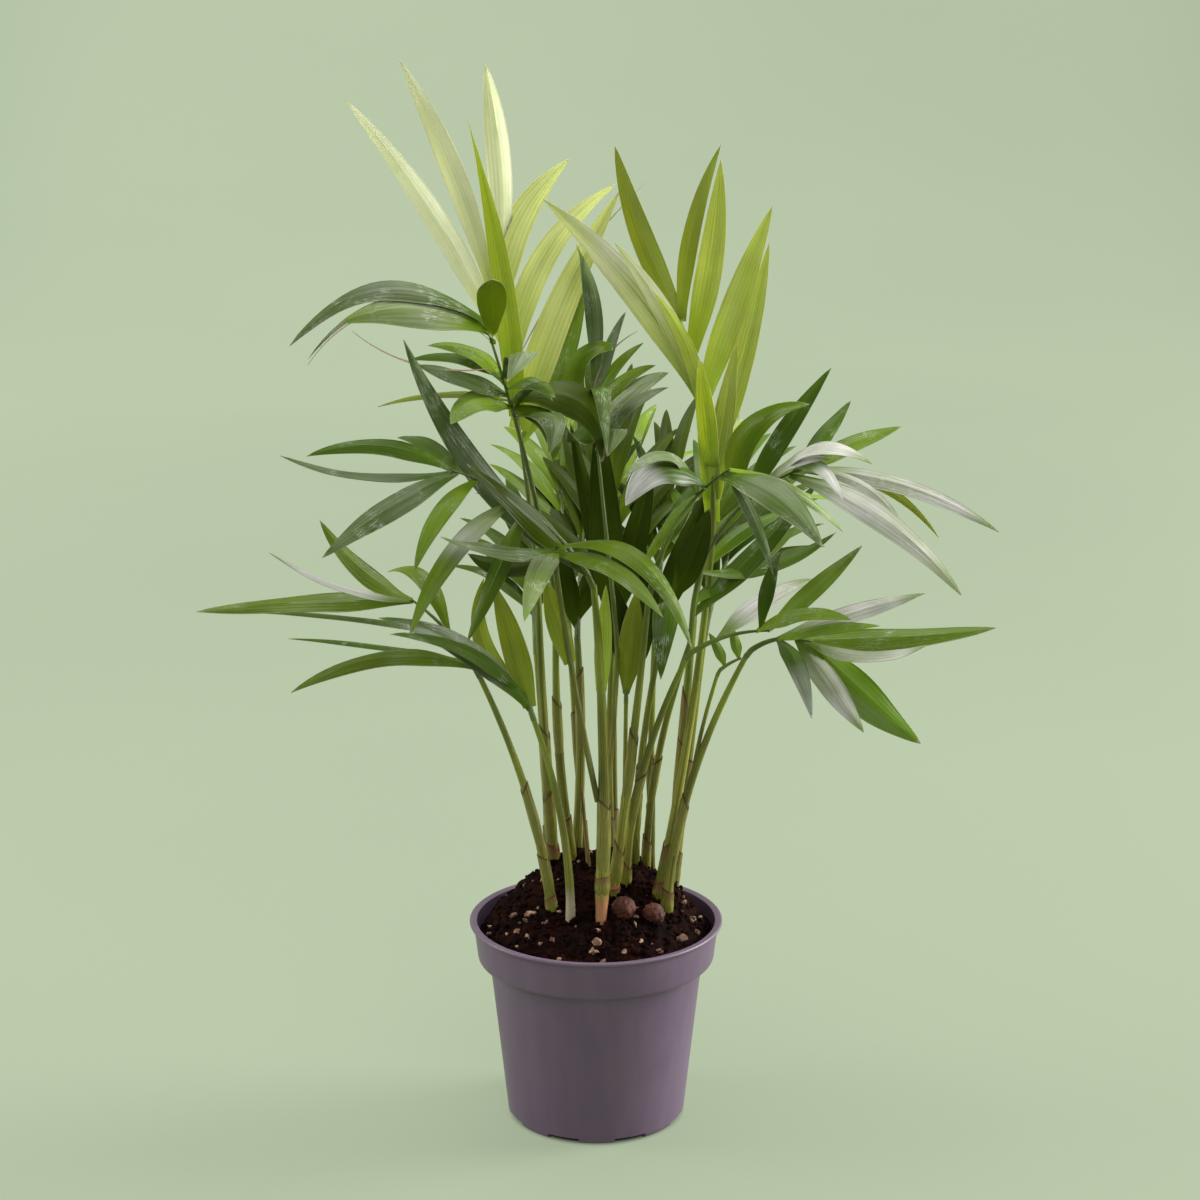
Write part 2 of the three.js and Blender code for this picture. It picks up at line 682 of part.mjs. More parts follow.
function addPart(name, solid, finish) {
  const mesh = new THREE.Mesh(toGeometry(solid), new THREE.MeshStandardMaterial(FINISHES[finish]));
  mesh.name = name;
  palm.add(mesh);
}

addPart("pot", buildPot(), "pot");

const placed = new Map();
let soil = buildSoil();
for (const [name, seed] of Object.entries(SEEDS)) {
  const solid = buildSeed(seed);
  soil = soil.subtract(buildSeed(seed, SEAT));
  placed.set(name, solid);
  addPart(name, solid, "seed");
}

for (const [name, stem] of Object.entries(STEMS)) {
  const solid = buildStem(stem);
  const met = obstacle(solid, placed);
  if (met) {
    throw new Error(`${name} meets ${met}`);
  }
  if (stem.foot) {
    soil = soil.subtract(buildStem(stem, SEAT));
  }
  placed.set(name, solid);
  addPart(name, solid, name === "stem_dry_spike" ? "dry" : "stem");
}
addPart("soil", mainBody(soil).simplify(SLIVER), "soil");

const noise = seededNoise(PAIRED.seed);
for (const [name, frond] of Object.entries(FRONDS)) {
  const solid = buildFrond(name, frond, noise, placed);
  placed.set(name, solid);
  addPart(name, solid, frond.tone);
}

export default palm;
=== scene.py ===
"""A young parlour palm in a round nursery pot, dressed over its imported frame.

Metres in the scene, millimetres and degrees in the tables. Z is up and -Y is the front.
Headings are compass angles about Z: 0 points along +X, 90 along +Y, 270 towards -Y.
A rise is the angle above the horizontal. A bow is how far the middle of a curve stands
off its chord, as a share of the chord's length.
"""
import math
from typing import NamedTuple

import bmesh
import bpy
from bpy.props import FloatProperty, FloatVectorProperty, IntProperty, PointerProperty
from bpy.types import Operator, Panel, PropertyGroup
from mathutils import Matrix, Vector, noise


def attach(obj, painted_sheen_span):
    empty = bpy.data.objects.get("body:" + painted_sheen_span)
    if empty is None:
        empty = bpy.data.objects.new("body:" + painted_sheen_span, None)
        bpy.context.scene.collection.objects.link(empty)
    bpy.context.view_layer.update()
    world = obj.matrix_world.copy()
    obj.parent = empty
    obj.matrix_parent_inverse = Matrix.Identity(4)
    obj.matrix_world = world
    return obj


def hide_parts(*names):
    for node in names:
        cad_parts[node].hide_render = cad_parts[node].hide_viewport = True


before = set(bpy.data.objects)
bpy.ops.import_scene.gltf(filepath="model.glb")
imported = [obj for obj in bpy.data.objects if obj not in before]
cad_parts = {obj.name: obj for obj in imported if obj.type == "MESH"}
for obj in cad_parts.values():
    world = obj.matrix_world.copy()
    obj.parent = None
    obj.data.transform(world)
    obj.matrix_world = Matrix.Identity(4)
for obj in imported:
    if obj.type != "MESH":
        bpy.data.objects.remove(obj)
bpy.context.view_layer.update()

bl_info = {
    "name": "Parlour Palm",
    "version": (1, 0, 0),
    "blender": (4, 5, 0),
    "location": "3D Viewport > Sidebar > Palm",
    "description": "Builds a young parlour palm in its nursery pot, piece by piece",
    "category": "Add Mesh",
}

MM = 0.001
FRONT = Vector((0, -1, 0))
# Vertices closer than the first are one, and the second is the slack of a comparison.
MERGE, NEAR = 1e-6, 1e-5


# ---------------------------------------------------------------- sizes and colours

def length(name, description, millimetres):
    return FloatProperty(name=name, description=description, default=millimetres * MM,
                         min=0.0, subtype="DISTANCE", unit="LENGTH", precision=5)


def share(name, description, default):
    return FloatProperty(name=name, description=description, default=default,
                         min=0.05, max=0.95, subtype="FACTOR")


def count(name, description, default):
    return IntProperty(name=name, description=description, default=default, min=0)


def colour(name, description, code):
    parts = [int(code[i:i + 2], 16) / 255 for i in (1, 3, 5)]
    linear = [c / 12.92 if c <= 0.04045 else ((c + 0.055) / 1.055) ** 2.4 for c in parts]
    return FloatVectorProperty(name=name, description=description, default=(*linear, 1.0),
                               size=4, min=0.0, max=1.0, subtype="COLOR")


class PalmPotSizes(PropertyGroup):
    height: length("Height", "From the floor to the top of the lip", 98)
    lip_radius: length("Lip radius", "Radius at the outside of the lip", 60)
    lip_thickness: length("Lip thickness", "Height of the rolled lip", 1.7)
    collar_top: length("Collar top radius", "Radius of the collar under the lip", 58.2)
    collar_foot: length("Collar foot radius", "Radius of the collar at its lower edge", 56.2)
    collar_height: length("Collar foot height", "Height of the collar's lower edge", 81.5)
    body_top: length("Body top radius", "Radius of the body under the collar", 50.6)
    body_height: length("Body top height", "Height at which the body meets the collar", 78.2)
    body_foot: length("Body foot radius", "Radius of the body at the floor", 42.4)
    wall: length("Wall", "Thickness of the wall", 1.6)
    floor: length("Floor", "Height of the inner floor", 5)
    notch_height: length("Notch height", "Height of the drain notches under the edge", 3)
    notch_depth: length("Notch depth", "How far the notches reach in from the edge", 8)
    notches: count("Notches", "Drain notches round the foot", 8)


class PalmSoilSizes(PropertyGroup):
    edge: length("Edge height", "Height of the soil against the wall", 91)
    peak: length("Peak height", "Height of the mound", 122)
    peak_place: length("Peak place", "How far behind the middle the mound peaks", 22)
    relief: length("Relief", "Height of the clods in the surface", 3.0)
    crumbs: count("Crumbs", "Loose crumbs of peat", 1300)
    granules: count("Granules", "Scattered white granules besides the placed ones", 46)


class PalmLeafSizes(PropertyGroup):
    thickness: length("Blade thickness", "Thickness of a leaflet", 0.26)
    pleat: length("Pleat depth", "Depth of the folds along a leaflet", 0.15)
    keel: FloatProperty(name="Keel", description="How steeply the halves of a leaflet fall away",
                        default=math.radians(15), subtype="ANGLE")
    root_width: share("Root width", "Width at the root as a share of the full width", 0.22)
    widest_at: share("Widest at", "Where a leaflet is widest, as a share of its length", 0.38)


class PalmColours(PropertyGroup):
    pot: colour("Pot", "Plastic of the pot", "#5a475f")
    # The lighter colour serves both real scuffs and the painted highlight on top of the lip.
    pot_worn_and_lit: colour("Pot, worn", "Lighter scuffs and the lip", "#786874")
    soil: colour("Soil", "Wet peat", "#0b0302")
    soil_light: colour("Soil, light", "Dry crumbs of peat", "#260d06")
    granule: colour("Granules", "White grains in the soil", "#b39375")
    seed: colour("Seeds", "Husk of the seeds", "#3a170b")
    seed_light: colour("Seeds, light", "Fibres of the husk", "#6e3c28")
    stem: colour("Stems", "Middle of a stem", "#5b5c14")
    stem_light: colour("Stems, light", "Streaks and old sheaths", "#8f8e3c")
    stem_top: colour("Stems, top", "Upper end of a stem and the ribs", "#6a7a1c")
    foot_white: colour("Pale foot", "Blanched foot of a stem", "#988d74")
    foot_orange: colour("Orange foot", "Foot of the thick stem", "#96694a")
    foot_brown: colour("Brown foot", "Foot with old husks", "#6b4a2a")
    sheath_edge: colour("Sheath edge", "Dried margin of a sheath", "#45220f")
    sheath_dry: colour("Dry sheath", "Papery dead sheath", "#6a4426")
    # A painted reflection: the pale colour that the leaflets' painted shine mixes into their green, for
    # the lamps' sheen on their upper faces.
    gloss: colour("Painted Gloss", "Pale shine on the upper faces", "#c9c5c8")
    dry: colour("Dry tips", "Dried tips, edges and threads", "#93826a")
    backdrop: colour("Backdrop", "Floor and backdrop", "#b9c8aa")


# The greens: what wears each, and its face, veins and root.
GREENS = {
    "cream": ("Youngest leaflets", "#c3caa0", "#d6dab8", "#c0cb58"),
    "young": ("Leaflets of the young frond", "#a5af5c", "#c2c98e", "#8ba322"),
    "lime": ("Leaflets lit through at the young frond's foot", "#718b13", "#90a23a", "#7a9816"),
    # The sheen leaflets' pale sheen is a painted reflection, from their tone's painted shine.
    "sheen": ("Fresh leaflets with a pale sheen", "#8f9f62", "#b4bc9c", "#6a841c"),
    "bright": ("Leaflets of the fresh frond", "#7a8b2a", "#97a354", "#7d961c"),
    "deep": ("Grown leaflets", "#546e0a", "#718a2c", "#6c8812"),
    "dark": ("Oldest leaflets", "#364e09", "#4f661c", "#46600e"),
    # The silver leaflets' pale bloom is a painted reflection: their colours are green, and the pale
    # comes from their tone's painted shine.
    "silver": ("Leaflets with a pale bloom", "#66783a", "#8f9b70", "#5c761a"),
    "olive": ("Fresh leaflets turned from the light", "#5e6d14", "#707e26", "#6f8020"),
    "moss": ("Darker leaflets near the floor", "#4c600e", "#677c2a", "#5f7a16"),
    "fresh": ("Green leaflets lit through", "#3d5b03", "#4d680f", "#536c08"),
    "shaded": ("Leaflets deep inside the crown", "#2f3d06", "#3e4e10", "#4a5e0c"),
}
GREEN_PARTS = {"": "face", "_vein": "veins", "_root": "root"}

for green, (wearer, *codes) in GREENS.items():
    for (ending, part), code in zip(GREEN_PARTS.items(), codes):
        title = f"{green.capitalize()} leaves, {part}"
        PalmColours.__annotations__[green + ending] = colour(title, wearer, code)

GROUPS = {
    "palm_pot": PalmPotSizes,
    "palm_soil": PalmSoilSizes,
    "palm_leaf": PalmLeafSizes,
    "palm_colours": PalmColours,
}


# ---------------------------------------------------------------- the seedlings

class Stem(NamedTuple):
    """A stem with its foot on the soil, or a stalk whose foot, which then has a height, is on
    another stem. bow: sideways, in millimetres. radii: at foot and tip. sheaths: where each
    starts and ends, the heading of its lowest notch, how many millimetres higher its other
    side stands and how dry it is. base: the look of the foot. flare: how far the foot swells."""
    foot: tuple
    tip: tuple
    bow: float
    radii: tuple
    sheaths: tuple = ()
    base: str = "green"
    flare: float = 0.2


class Leaf(NamedTuple):
    """A leaflet. place: along the rib, or back down the stem where negative. tone: where it
    isn't the frond's own. roll and twist: of its upper face at the root, and on to the tip.
    sway: sideways bow. widest, taper and root: its outline, where it isn't the usual one."""
    place: float
    heading: float
    rise: float
    reach: float
    bow: float
    width: float
    tone: str = ""
    roll: float = 0
    twist: float = 0
    sway: float = 0
    widest: float = None
    taper: float = 0.78
    root: float = None


class Frond(NamedTuple):
    """A frond. rib: heading, rise, length and bow. face: the heading and rise that the upper
    faces turn to. slot: where it isn't the tone's own, though nothing uses it. pairs: how many
    pairs of leaflets grow by the rule of Paired besides, and how long they are."""
    stem: str
    tone: str
    rib: tuple
    face: tuple
    leaves: tuple = ()
    slot: str = ""
    pairs: tuple = ()


class Paired:
    """The rule of leaflets in pairs. Places and losses are shares, the rest degrees and
    millimetres. Jitter, unevenness, twist and sway are the most that chance adds."""
    first_place, stagger = 0.3, 0.05
    base_spread, tip_spread = 44, 10
    rise_share, droop = 0.75, 16
    longest_at, reach_loss = 0.4, 0.3
    bow, width = 0.1, 7.5
    jitter, unevenness, bow_unevenness, width_unevenness = 5, 0.06, 0.3, 0.12
    twist, sway = 14, 0.03
    seed = 7


STEMS = {
    "stem_centre": Stem((2, -24), (-1, -10, 263), 3, (3.9, 1.7), base="orange", flare=-0.28, sheaths=[
        (0.105, 0.16, 206, 2, 0.8), (0.17, 0.36, 330, 6, 0.1)]),
    "stem_left_outer": Stem((-20, -14), (-54, -14, 222), 5.5, (2.8, 1.4), sheaths=[
        (0.02, 0.088, 206, 3, 0.6), (0.1, 0.248, 338, 4, 0.2), (0.3, 0.519, 206, 6, 0)]),
    "stem_left_front": Stem((-12, -23), (-29, -14, 201), 5, (2.6, 1.4), base="white"),
    "stem_left_tall": Stem((-20, 25), (-27, 6, 264), -1, (3.2, 1.6), base="brown", sheaths=[
        (0.02, 0.083, 330, 5, 0.9), (0.1, 0.246, 206, 8, 0.3), (0.28, 0.459, 344, 8, 0)]),
    "stem_left_inner": Stem((-11, 20), (-18, -10, 254), -3, (3, 1.5), base="white", sheaths=[
        (0.04, 0.195, 196, 3, 0.3), (0.45, 0.617, 344, 7, 0)]),
    "stem_centre_right": Stem((7, -7), (24, -12, 257), 1, (3, 1.5), base="orange", sheaths=[
        (0.02, 0.055, 206, 2, 0.8), (0.07, 0.17, 322, 8, 0.3), (0.36, 0.534, 330, 8, 0)]),
    "stem_right_front": Stem((14, 1), (42, -16, 231), -7, (2.6, 1.4), sheaths=[
        (0.03, 0.115, 322, 6, 0.4), (0.3, 0.484, 206, 6, 0.1)]),
    "stem_right_slim": Stem((19, 20), (33, -6, 249), -4, (2.2, 1.4), sheaths=[
        (0.15, 0.311, 344, 5, 0.2), (0.33, 0.414, 200, 5, 0.1)]),
    "stem_right_inner": Stem((24, 28), (44, -6, 236), -5, (2.2, 1.5), sheaths=[
        (0.03, 0.143, 344, 6, 0.5), (0.33, 0.486, 196, 5, 0.1)]),
    "stem_right_tall": Stem((28, -3), (53, 6, 271), 2.5, (2.8, 1.6), base="brown", sheaths=[
        (0.02, 0.073, 204, 3, 0.9), (0.08, 0.18, 214, 5, 0.7)]),
    "stem_right_outer": Stem((33, -9), (69, -20, 233), -8, (2.9, 1.4), base="brown", sheaths=[
        (0.02, 0.113, 344, 3, 0.7), (0.25, 0.421, 346, 9, 0.2)]),
    "stem_right_sheath": Stem((35, 20), (46, 24, 238), 0, (2.9, 2), sheaths=[
        (0.3, 0.52, 330, 9, 0.3), (0.45, 0.659, 322, 14, 0.5)]),
    "stem_back_left": Stem((-10, 36), (-9, 40, 225), 2, (3, 1.8), sheaths=[
        (0.5, 0.8, 196, 8, 0.1)]),
    "stem_back_centre": Stem((7, 31), (8, 36, 226), -1, (2.4, 1.6), sheaths=[
        (0.02, 0.19, 344, 5, 0.5)]),
    "stem_back_right": Stem((27, 37), (28, 40, 224), -1, (2.2, 1.5), sheaths=[
        (0.12, 0.311, 204, 6, 0.3), (0.33, 0.506, 338, 6, 0.1)]),
    "stem_rear_left": Stem((-23, 37), (-29, 50, 215), 1, (2.4, 1.5), sheaths=[
        (0.03, 0.2, 80, 5, 0.5), (0.4, 0.6, 100, 6, 0.1)]),
    "stem_rear_inner": Stem((-5, 46), (-14, 60, 238), 0, (2.4, 1.5), sheaths=[
        (0.03, 0.17, 70, 5, 0.6), (0.35, 0.55, 100, 7, 0.2)]),
    "stem_rear_centre": Stem((9, 44), (8, 62, 226), 0, (2.4, 1.5), sheaths=[
        (0.03, 0.22, 110, 5, 0.4)]),
    "stem_rear_outer": Stem((37, 33), (52, 48, 222), 0, (2.4, 1.5), sheaths=[
        (0.03, 0.16, 60, 5, 0.6), (0.3, 0.5, 80, 6, 0.2)]),
    "stem_dry_spike": Stem((-3, 12), (-7, 14, 158), 0, (1.5, 0.5), base="dry"),
    "stalk_centre_left": Stem((0.8, -18.5, 162), (-18, -24, 274), -1, (1.6, 1.4)),
    "stalk_centre_back": Stem((5.2, -17, 166), (10, -2, 233), 0.7, (1.6, 1.3)),
    "stalk_fan": Stem((13.4, -9.6, 162), (14, -3, 206), 0, (1.2, 1.1)),
    "stalk_right_short": Stem((44.2, -15, 170), (56, -16, 223), -1, (1.1, 1)),
}


FRONDS = {
    "frond_young_left": Frond("stem_left_tall", "young", (143, 79, 122, 0.02), (270, 10), leaves=[
        Leaf(1, 162, 68, 121, 0.04, 10.5, "cream", widest=0.5),
        Leaf(0.87, 190, 58, 132, 0.04, 11, "cream"),
        Leaf(0.98, 240, 86, 114, 0.08, 12.5, "cream", widest=0.62, roll=25),
        Leaf(0.6, 212, 80, 138, 0.03, 11, "lime", widest=0.3, taper=1.35, root=0.6),
        Leaf(0.96, 35, 61, 82, 0.14, 14, root=0.4),
        Leaf(0.75, 39, 53, 105, 0.15, 12, root=0.5),
        Leaf(0.55, 27, 64, 118, 0.04, 15, root=0.6, widest=0.3),
        Leaf(0.5, 48, 58, 83, -0.06, 12, "deep"),
        Leaf(0.75, 34, 48, 114, 0.02, 0.8, "thread", sway=-0.03)]),
    "frond_young_right": Frond("stem_right_tall", "bright", (132, 79, 111, 0.08), (270, 10), leaves=[
        Leaf(1, 157, 67, 84, -0.04, 11, "olive", root=0.5),
        Leaf(0.99, 48, 71, 83, 0.08, 8, "olive", root=0.5),
        Leaf(0.86, 331, 81, 89, -0.03, 12, root=0.5),
        Leaf(0.66, 34, 66, 94, 0.01, 12.5, root=0.55),
        Leaf(0.68, 192, 51, 117, 0.05, 14, "sheen", twist=-20, root=0.5),
        Leaf(0.66, 217, 56, 91, 0.05, 9, "sheen", root=0.5),
        Leaf(0.5, 230, 60, 83, 0.09, 7, root=0.6),
        Leaf(0.42, 13, 75, 101, -0.02, 11.5, root=0.7, widest=0.3),
        Leaf(0.36, 256, 62, 65, 0, 9, "lime", root=0.7),
        Leaf(0.15, 206, 85, 76, 0, 9, "lime", root=0.7),
        Leaf(0.25, 354, 82, 72, 0.01, 10, root=0.7),
        Leaf(0.36, 74, 14, 61, -0.05, 7),
        Leaf(0.42, 77, 6, 68, -0.1, 7, "silver")]),
    "frond_arching_left": Frond("stem_left_inner", "deep", (210, 75, 137, 0.02), (270, 60), leaves=[
        Leaf(1, 188, -6, 86, 0.23, 13, "misty"),
        Leaf(0.97, 196, 5, 66, 0.16, 17, "hazy", sway=-0.05, roll=-25),
        Leaf(0.93, 176, -8, 83, 0.18, 1.4, "thread", sway=0.11),
        Leaf(0.84, 176, 13, 67, -0.08, 1, "thread", sway=-0.05),
        Leaf(0.95, 159, -10, 91, 0.22, 3.5, "misty", roll=-35),
        Leaf(0.92, 272, 41, 52, 0.1, 13, "fresh", widest=0.6, taper=0.5),
        Leaf(0.8, 157, 6, 47, 0.1, 8, "dark", sway=0.03),
        Leaf(0.78, 175, 26, 38, 0.08, 9, sway=0.13),
        Leaf(0.74, 191, 20, 43, 0.03, 12, "misty"),
        Leaf(0.72, 160, -6, 65, 0.05, 5, "olive", sway=0.03),
        Leaf(0.7, 222, -6, 35, 0.15, 16, "deep", sway=0.1),
        Leaf(0.76, 341, -10, 22, 0.2, 8, "fresh", sway=-0.11),
        Leaf(0.7, 315, -39, 34, 0.15, 12, "deep", sway=-0.18),
        Leaf(0.68, 291, 16, 57, 0.16, 10, "dark"),
        Leaf(0.72, 342, -30, 50, 0.2, 20, "shaded", sway=-0.21),
        Leaf(0.66, 288, -8, 52, 0.13, 12, "misty", sway=-0.17),
        Leaf(0.8, 274, 8, 52, 0.23, 14, "misty", sway=-0.15)]),
    "frond_long_left": Frond("stem_centre", "dark", (208, 40, 93, 0.08), (270, 45), leaves=[
        Leaf(0.06, 197, 53, 139, -0.07, 13, "misty"),
        Leaf(0.12, 217, 41, 82, 0.01, 13, "shaded"),
        Leaf(1, 186, 6.5, 63, 0.12, 9),
        Leaf(0.95, 117, 3, 70, 0.07, 8),
        Leaf(0.98, 164, 1.5, 82, -0.07, 7, "misty", roll=25),
        Leaf(0.96, 213, -24, 74, 0.04, 12, "misty"),
        Leaf(0.85, 235, -36, 56, 0.13, 9, "deep"),
        Leaf(0.62, 229, -36, 84, 0.12, 10, "crested"),
        Leaf(0.55, 199, -65, 66, 0, 9, "fresh"),
        Leaf(-0.3, 82, 71, 49, 0, 8, "lime", root=0.6)]),
    "frond_front_tuft": Frond("stalk_centre_left", "dark", (280, 62, 13, 0.1), (270, 60), leaves=[
        Leaf(0.5, 305, -8, 82, 0.11, 11, "deep"),
        Leaf(0.9, 319, -23, 85, 0.24, 10, "deep"),
        Leaf(0.6, 260, -10, 74, 0.11, 12, "hazy"),
        Leaf(0.8, 227, 14, 74, -0.04, 12, "misty"),
        Leaf(0.7, 170, -4, 41, -0.1, 14, "shaded", sway=-0.07),
        Leaf(-0.4, 181, 74, 42, 0, 11, "olive", root=0.5)]),
    "frond_low_left": Frond("stem_left_outer", "deep", (206, 50, 50, 0.05), (270, 60), leaves=[
        Leaf(1, 143, 28, 62, -0.09, 10, "moss"),
        Leaf(0.97, 200, 23, 71, -0.06, 6.5, "silver", twist=25),
        Leaf(0.98, 184, -2, 97, 0.02, 12, "moss"),
        Leaf(0.45, 166, 3, 98, 0.03, 4.5, "dark", roll=10),
        Leaf(0.12, 161, 2, 92, 0.02, 4.5, "dark", roll=10),
        Leaf(0.06, 204, -1, 88, 0.12, 11, "moss"),
        Leaf(0.5, 127, 20, 54, 0.25, 9, "moss")]),
    "frond_low_blade": Frond("stem_left_front", "deep", (146, 60, 29, 0.05), (270, 40), leaves=[
        Leaf(0.12, 224, 34, 107, 0.08, 12, "misty"),
        Leaf(0.3, 236, 28, 113, 0.07, 8, "dark"),
        Leaf(0.4, 148, 67, 56, -0.09, 9, "olive", sway=-0.11, root=0.5),
        Leaf(0.15, 154, 72, 60, 0.02, 12, "olive", root=0.5)]),
    "frond_centre": Frond("stalk_centre_back", "dark", (126, 80, 113, 0), (270, 45), leaves=[
        Leaf(0.98, 252, 73, 79, 0.17, 8, "misty", widest=0.5),
        Leaf(0.93, 302, 65, 36, 0.2, 10, "fresh", sway=-0.29),
        Leaf(0.96, 4, 53, 38, 0.05, 6, "deep", sway=-0.05),
        Leaf(0.9, 345, 45, 40, 0.08, 8, "deep", sway=-0.07),
        Leaf(0.86, 340, 41, 46, 0.1, 13, "hazy"),
        Leaf(0.8, 321, 39, 52, 0.1, 8, "misty"),
        Leaf(1, 23, 68, 42, 0, 4, "misty"),
        Leaf(0.8, 274, 8, 62, 0.16, 13, "misty", sway=-0.08),
        Leaf(0.9, 274, 1, 76, 0.3, 9),
        Leaf(0.96, 262, 3, 74, -0.12, 11),
        Leaf(0.85, 95, 31, 58, 0.3, 9),
        Leaf(0.95, 69, 44, 58, 0.09, 6),
        Leaf(0.98, 17, 57, 39, 0.08, 0.9, "thread", sway=-0.08)]),
    "frond_upper_right": Frond("stem_right_inner", "dark", (339, 59, 97, 0.16), (270, 50), leaves=[
        Leaf(0.7, 331, 57, 58, 0.16, 13, "fresh", sway=-0.14),
        Leaf(0.7, 10, 57, 73, 0.03, 10, "dark"),
        Leaf(1, 49, 34, 46, 0.01, 8),
        Leaf(0.98, 33, 13, 62, 0.03, 10, "deep"),
        Leaf(0.85, 304, 17, 75, 0.16, 10, "silver"),
        Leaf(0.99, 353, -16, 94, 0.08, 10, "silver"),
        Leaf(0.95, 326, -26.5, 98, 0.09, 13, "silver"),
        Leaf(0.97, 28, -26, 90, 0.12, 5, "olive", roll=40),
        Leaf(0.98, 332, -28, 63, 0.11, 5.5, "silver", sway=-0.1),
        Leaf(0.96, 288, 0, 60, 0.16, 8, "tipped"),
        Leaf(0.8, 307, 25, 52, 0.12, 10, "silver"),
        Leaf(0.93, 69, -16, 91, -0.05, 7, "deep"),
        Leaf(0.3, 37, 5, 83, -0.08, 8),
        Leaf(0.1, 32, 38, 89, -0.02, 11),
        Leaf(0.16, 50, 15, 84, 0, 12)]),
    "frond_centre_right": Frond("stem_centre_right", "deep", (316, 54, 83, 0.1), (270, 50), leaves=[
        Leaf(0.8, 227, 0, 53, 0.2, 18, "tipped", sway=0.06),
        Leaf(0.72, 232, 17, 57, 0.25, 8, "misty"),
        Leaf(0.92, 312, -19, 66, 0.13, 16, "misty"),
        Leaf(0.97, 331, -62, 50, 0.05, 6, "misty"),
        Leaf(0.75, 137, -49, 53, 0.05, 8, "fresh"),
        Leaf(0.99, 26, -30, 68, 0.08, 7),
        Leaf(0.3, 58, 39, 43, 0.05, 9, "dark")]),
    "frond_inner_right": Frond("stem_right_slim", "dark", (311, 67, 13, 0), (270, 30), leaves=[
        Leaf(0.6, 294, 53, 62, -0.03, 13, "shaded"),
        Leaf(0.4, 264, -21, 59, 0.2, 12)]),
    "frond_lower_right": Frond("stem_right_front", "dark", (331, 22, 44, 0.07), (270, 45), leaves=[
        Leaf(0.97, 30, 33, 61, 0, 9, "deep"),
        Leaf(0.9, 285, 57, 53, 0.09, 7),
        Leaf(0.4, 40, 17, 63, 0.08, 10, "silver"),
        Leaf(0.85, 312, 16, 60, 0.09, 9, "deep")]),
    "frond_far_right": Frond("stem_right_outer", "deep", (324, 17, 35, 0.11), (270, 50), leaves=[
        Leaf(0.5, 16, 13, 73, 0.02, 10, "silver"),
        Leaf(0.45, 308, 17, 71, 0.03, 8),
        Leaf(0.85, 351, 6, 87, -0.02, 12),
        Leaf(0.9, 312, 10, 74, -0.08, 8, "silver"),
        Leaf(0.8, 305, -34, 57, 0.01, 12, "silver"),
        Leaf(0.98, 337, -38, 67, -0.02, 19, "fresh"),
        Leaf(0.5, 283, -22, 58, 0.13, 9, "tipped")]),
    "frond_small_right": Frond("stalk_right_short", "deep", (5, 30, 12, 0.05), (270, 45), leaves=[
        Leaf(0.3, 150, 60, 17, 0.05, 5),
        Leaf(0.9, 120, 62, 16, 0.05, 5)]),
    "frond_fan": Frond("stalk_fan", "shaded", (90, 70, 12, 0), (270, 10), slot="bright", leaves=[
        Leaf(0.2, 300, 80, 52, 0, 12, "olive"),
        Leaf(0.5, 20, 72, 54, 0.03, 14),
        Leaf(0.9, 150, 80, 46, 0.03, 12)]),
    "frond_back_left": Frond("stem_back_left", "shaded", (84, 50, 76, 0.08), (270, 50),
        slot="deep", pairs=(5, 74), leaves=[
        Leaf(0.05, 180, 74, 52, 0, 13),
        Leaf(0.1, 5, 70, 42, 0, 11)]),
    "frond_back_centre": Frond("stem_back_centre", "shaded", (88, 56, 84, 0.05), (270, 40),
        slot="dark", pairs=(5, 80), leaves=[
        Leaf(0.02, 176, 86, 104, 0, 16),
        Leaf(0.08, 174, 78, 98, 0, 9),
        Leaf(0.06, 8, 76, 80, 0, 13)]),
    "frond_back_right": Frond("stem_back_right", "shaded", (80, 50, 78, 0.08), (270, 40),
        slot="dark", pairs=(5, 78), leaves=[
        Leaf(0.04, 8, 70, 72, 0, 13),
        Leaf(0.08, 170, 76, 48, 0, 13)]),
    "frond_back_sheath": Frond("stem_right_sheath", "fresh", (70, 50, 70, 0.08), (270, 50),
        slot="bright", pairs=(5, 66)),
    "frond_rear_left": Frond("stem_rear_left", "dark", (96, 44, 64, 0.12), (270, 60), pairs=(6, 62)),
    "frond_rear_inner": Frond("stem_rear_inner", "deep", (96, 44, 80, 0.12), (270, 60),
        slot="bright", pairs=(6, 70)),
    "frond_rear_centre": Frond("stem_rear_centre", "deep", (86, 38, 86, 0.12), (270, 60),
        pairs=(6, 84)),
    "frond_rear_outer": Frond("stem_rear_outer", "dark", (62, 42, 68, 0.12), (270, 60), pairs=(6, 70)),
}

# Placed granules: x, y and size. Seeds: x, y, radius, and how far the middle stands above
# the soil as a share of the radius.
GRANULES = [
    (-38.6, -10.9, 1.3), (-31.5, -14.3, 1.3), (-28.6, -15.8, 1), (-32.8, -17.5, 1),
    (-23.3, -24.1, 0.9), (-36.9, -21.6, 1), (-49.7, -5.0, 0.8), (-50.4, -12.7, 0.8),
    (-31.6, -28.8, 1.2), (-20.3, -34.4, 1.1), (1.0, -30.5, 0.9), (0.5, -38.5, 1.7),
    (-1.3, -42.4, 1.2), (3.3, -47.3, 1.2), (18.2, -24.3, 1.2), (41.9, 2.4, 1), (45.5, -4.7, 1.2),
    (49.5, 1.9, 0.9), (39.7, -24.4, 1.5), (47.7, -10.4, 1), (29.2, -37.4, 1.1), (-2.9, 21.5, 1.2),
]
SEEDS = {
    "seed_left": (13, -18.5, 5.8, 0.28),
    "seed_right": (27, -17, 5.5, 0.14),
}


# ---------------------------------------------------------------- shaping helpers

def direction(heading, rise):
    h, r = math.radians(heading), math.radians(rise)
    return Vector((math.cos(h) * math.cos(r), math.sin(h) * math.cos(r), math.sin(r)))


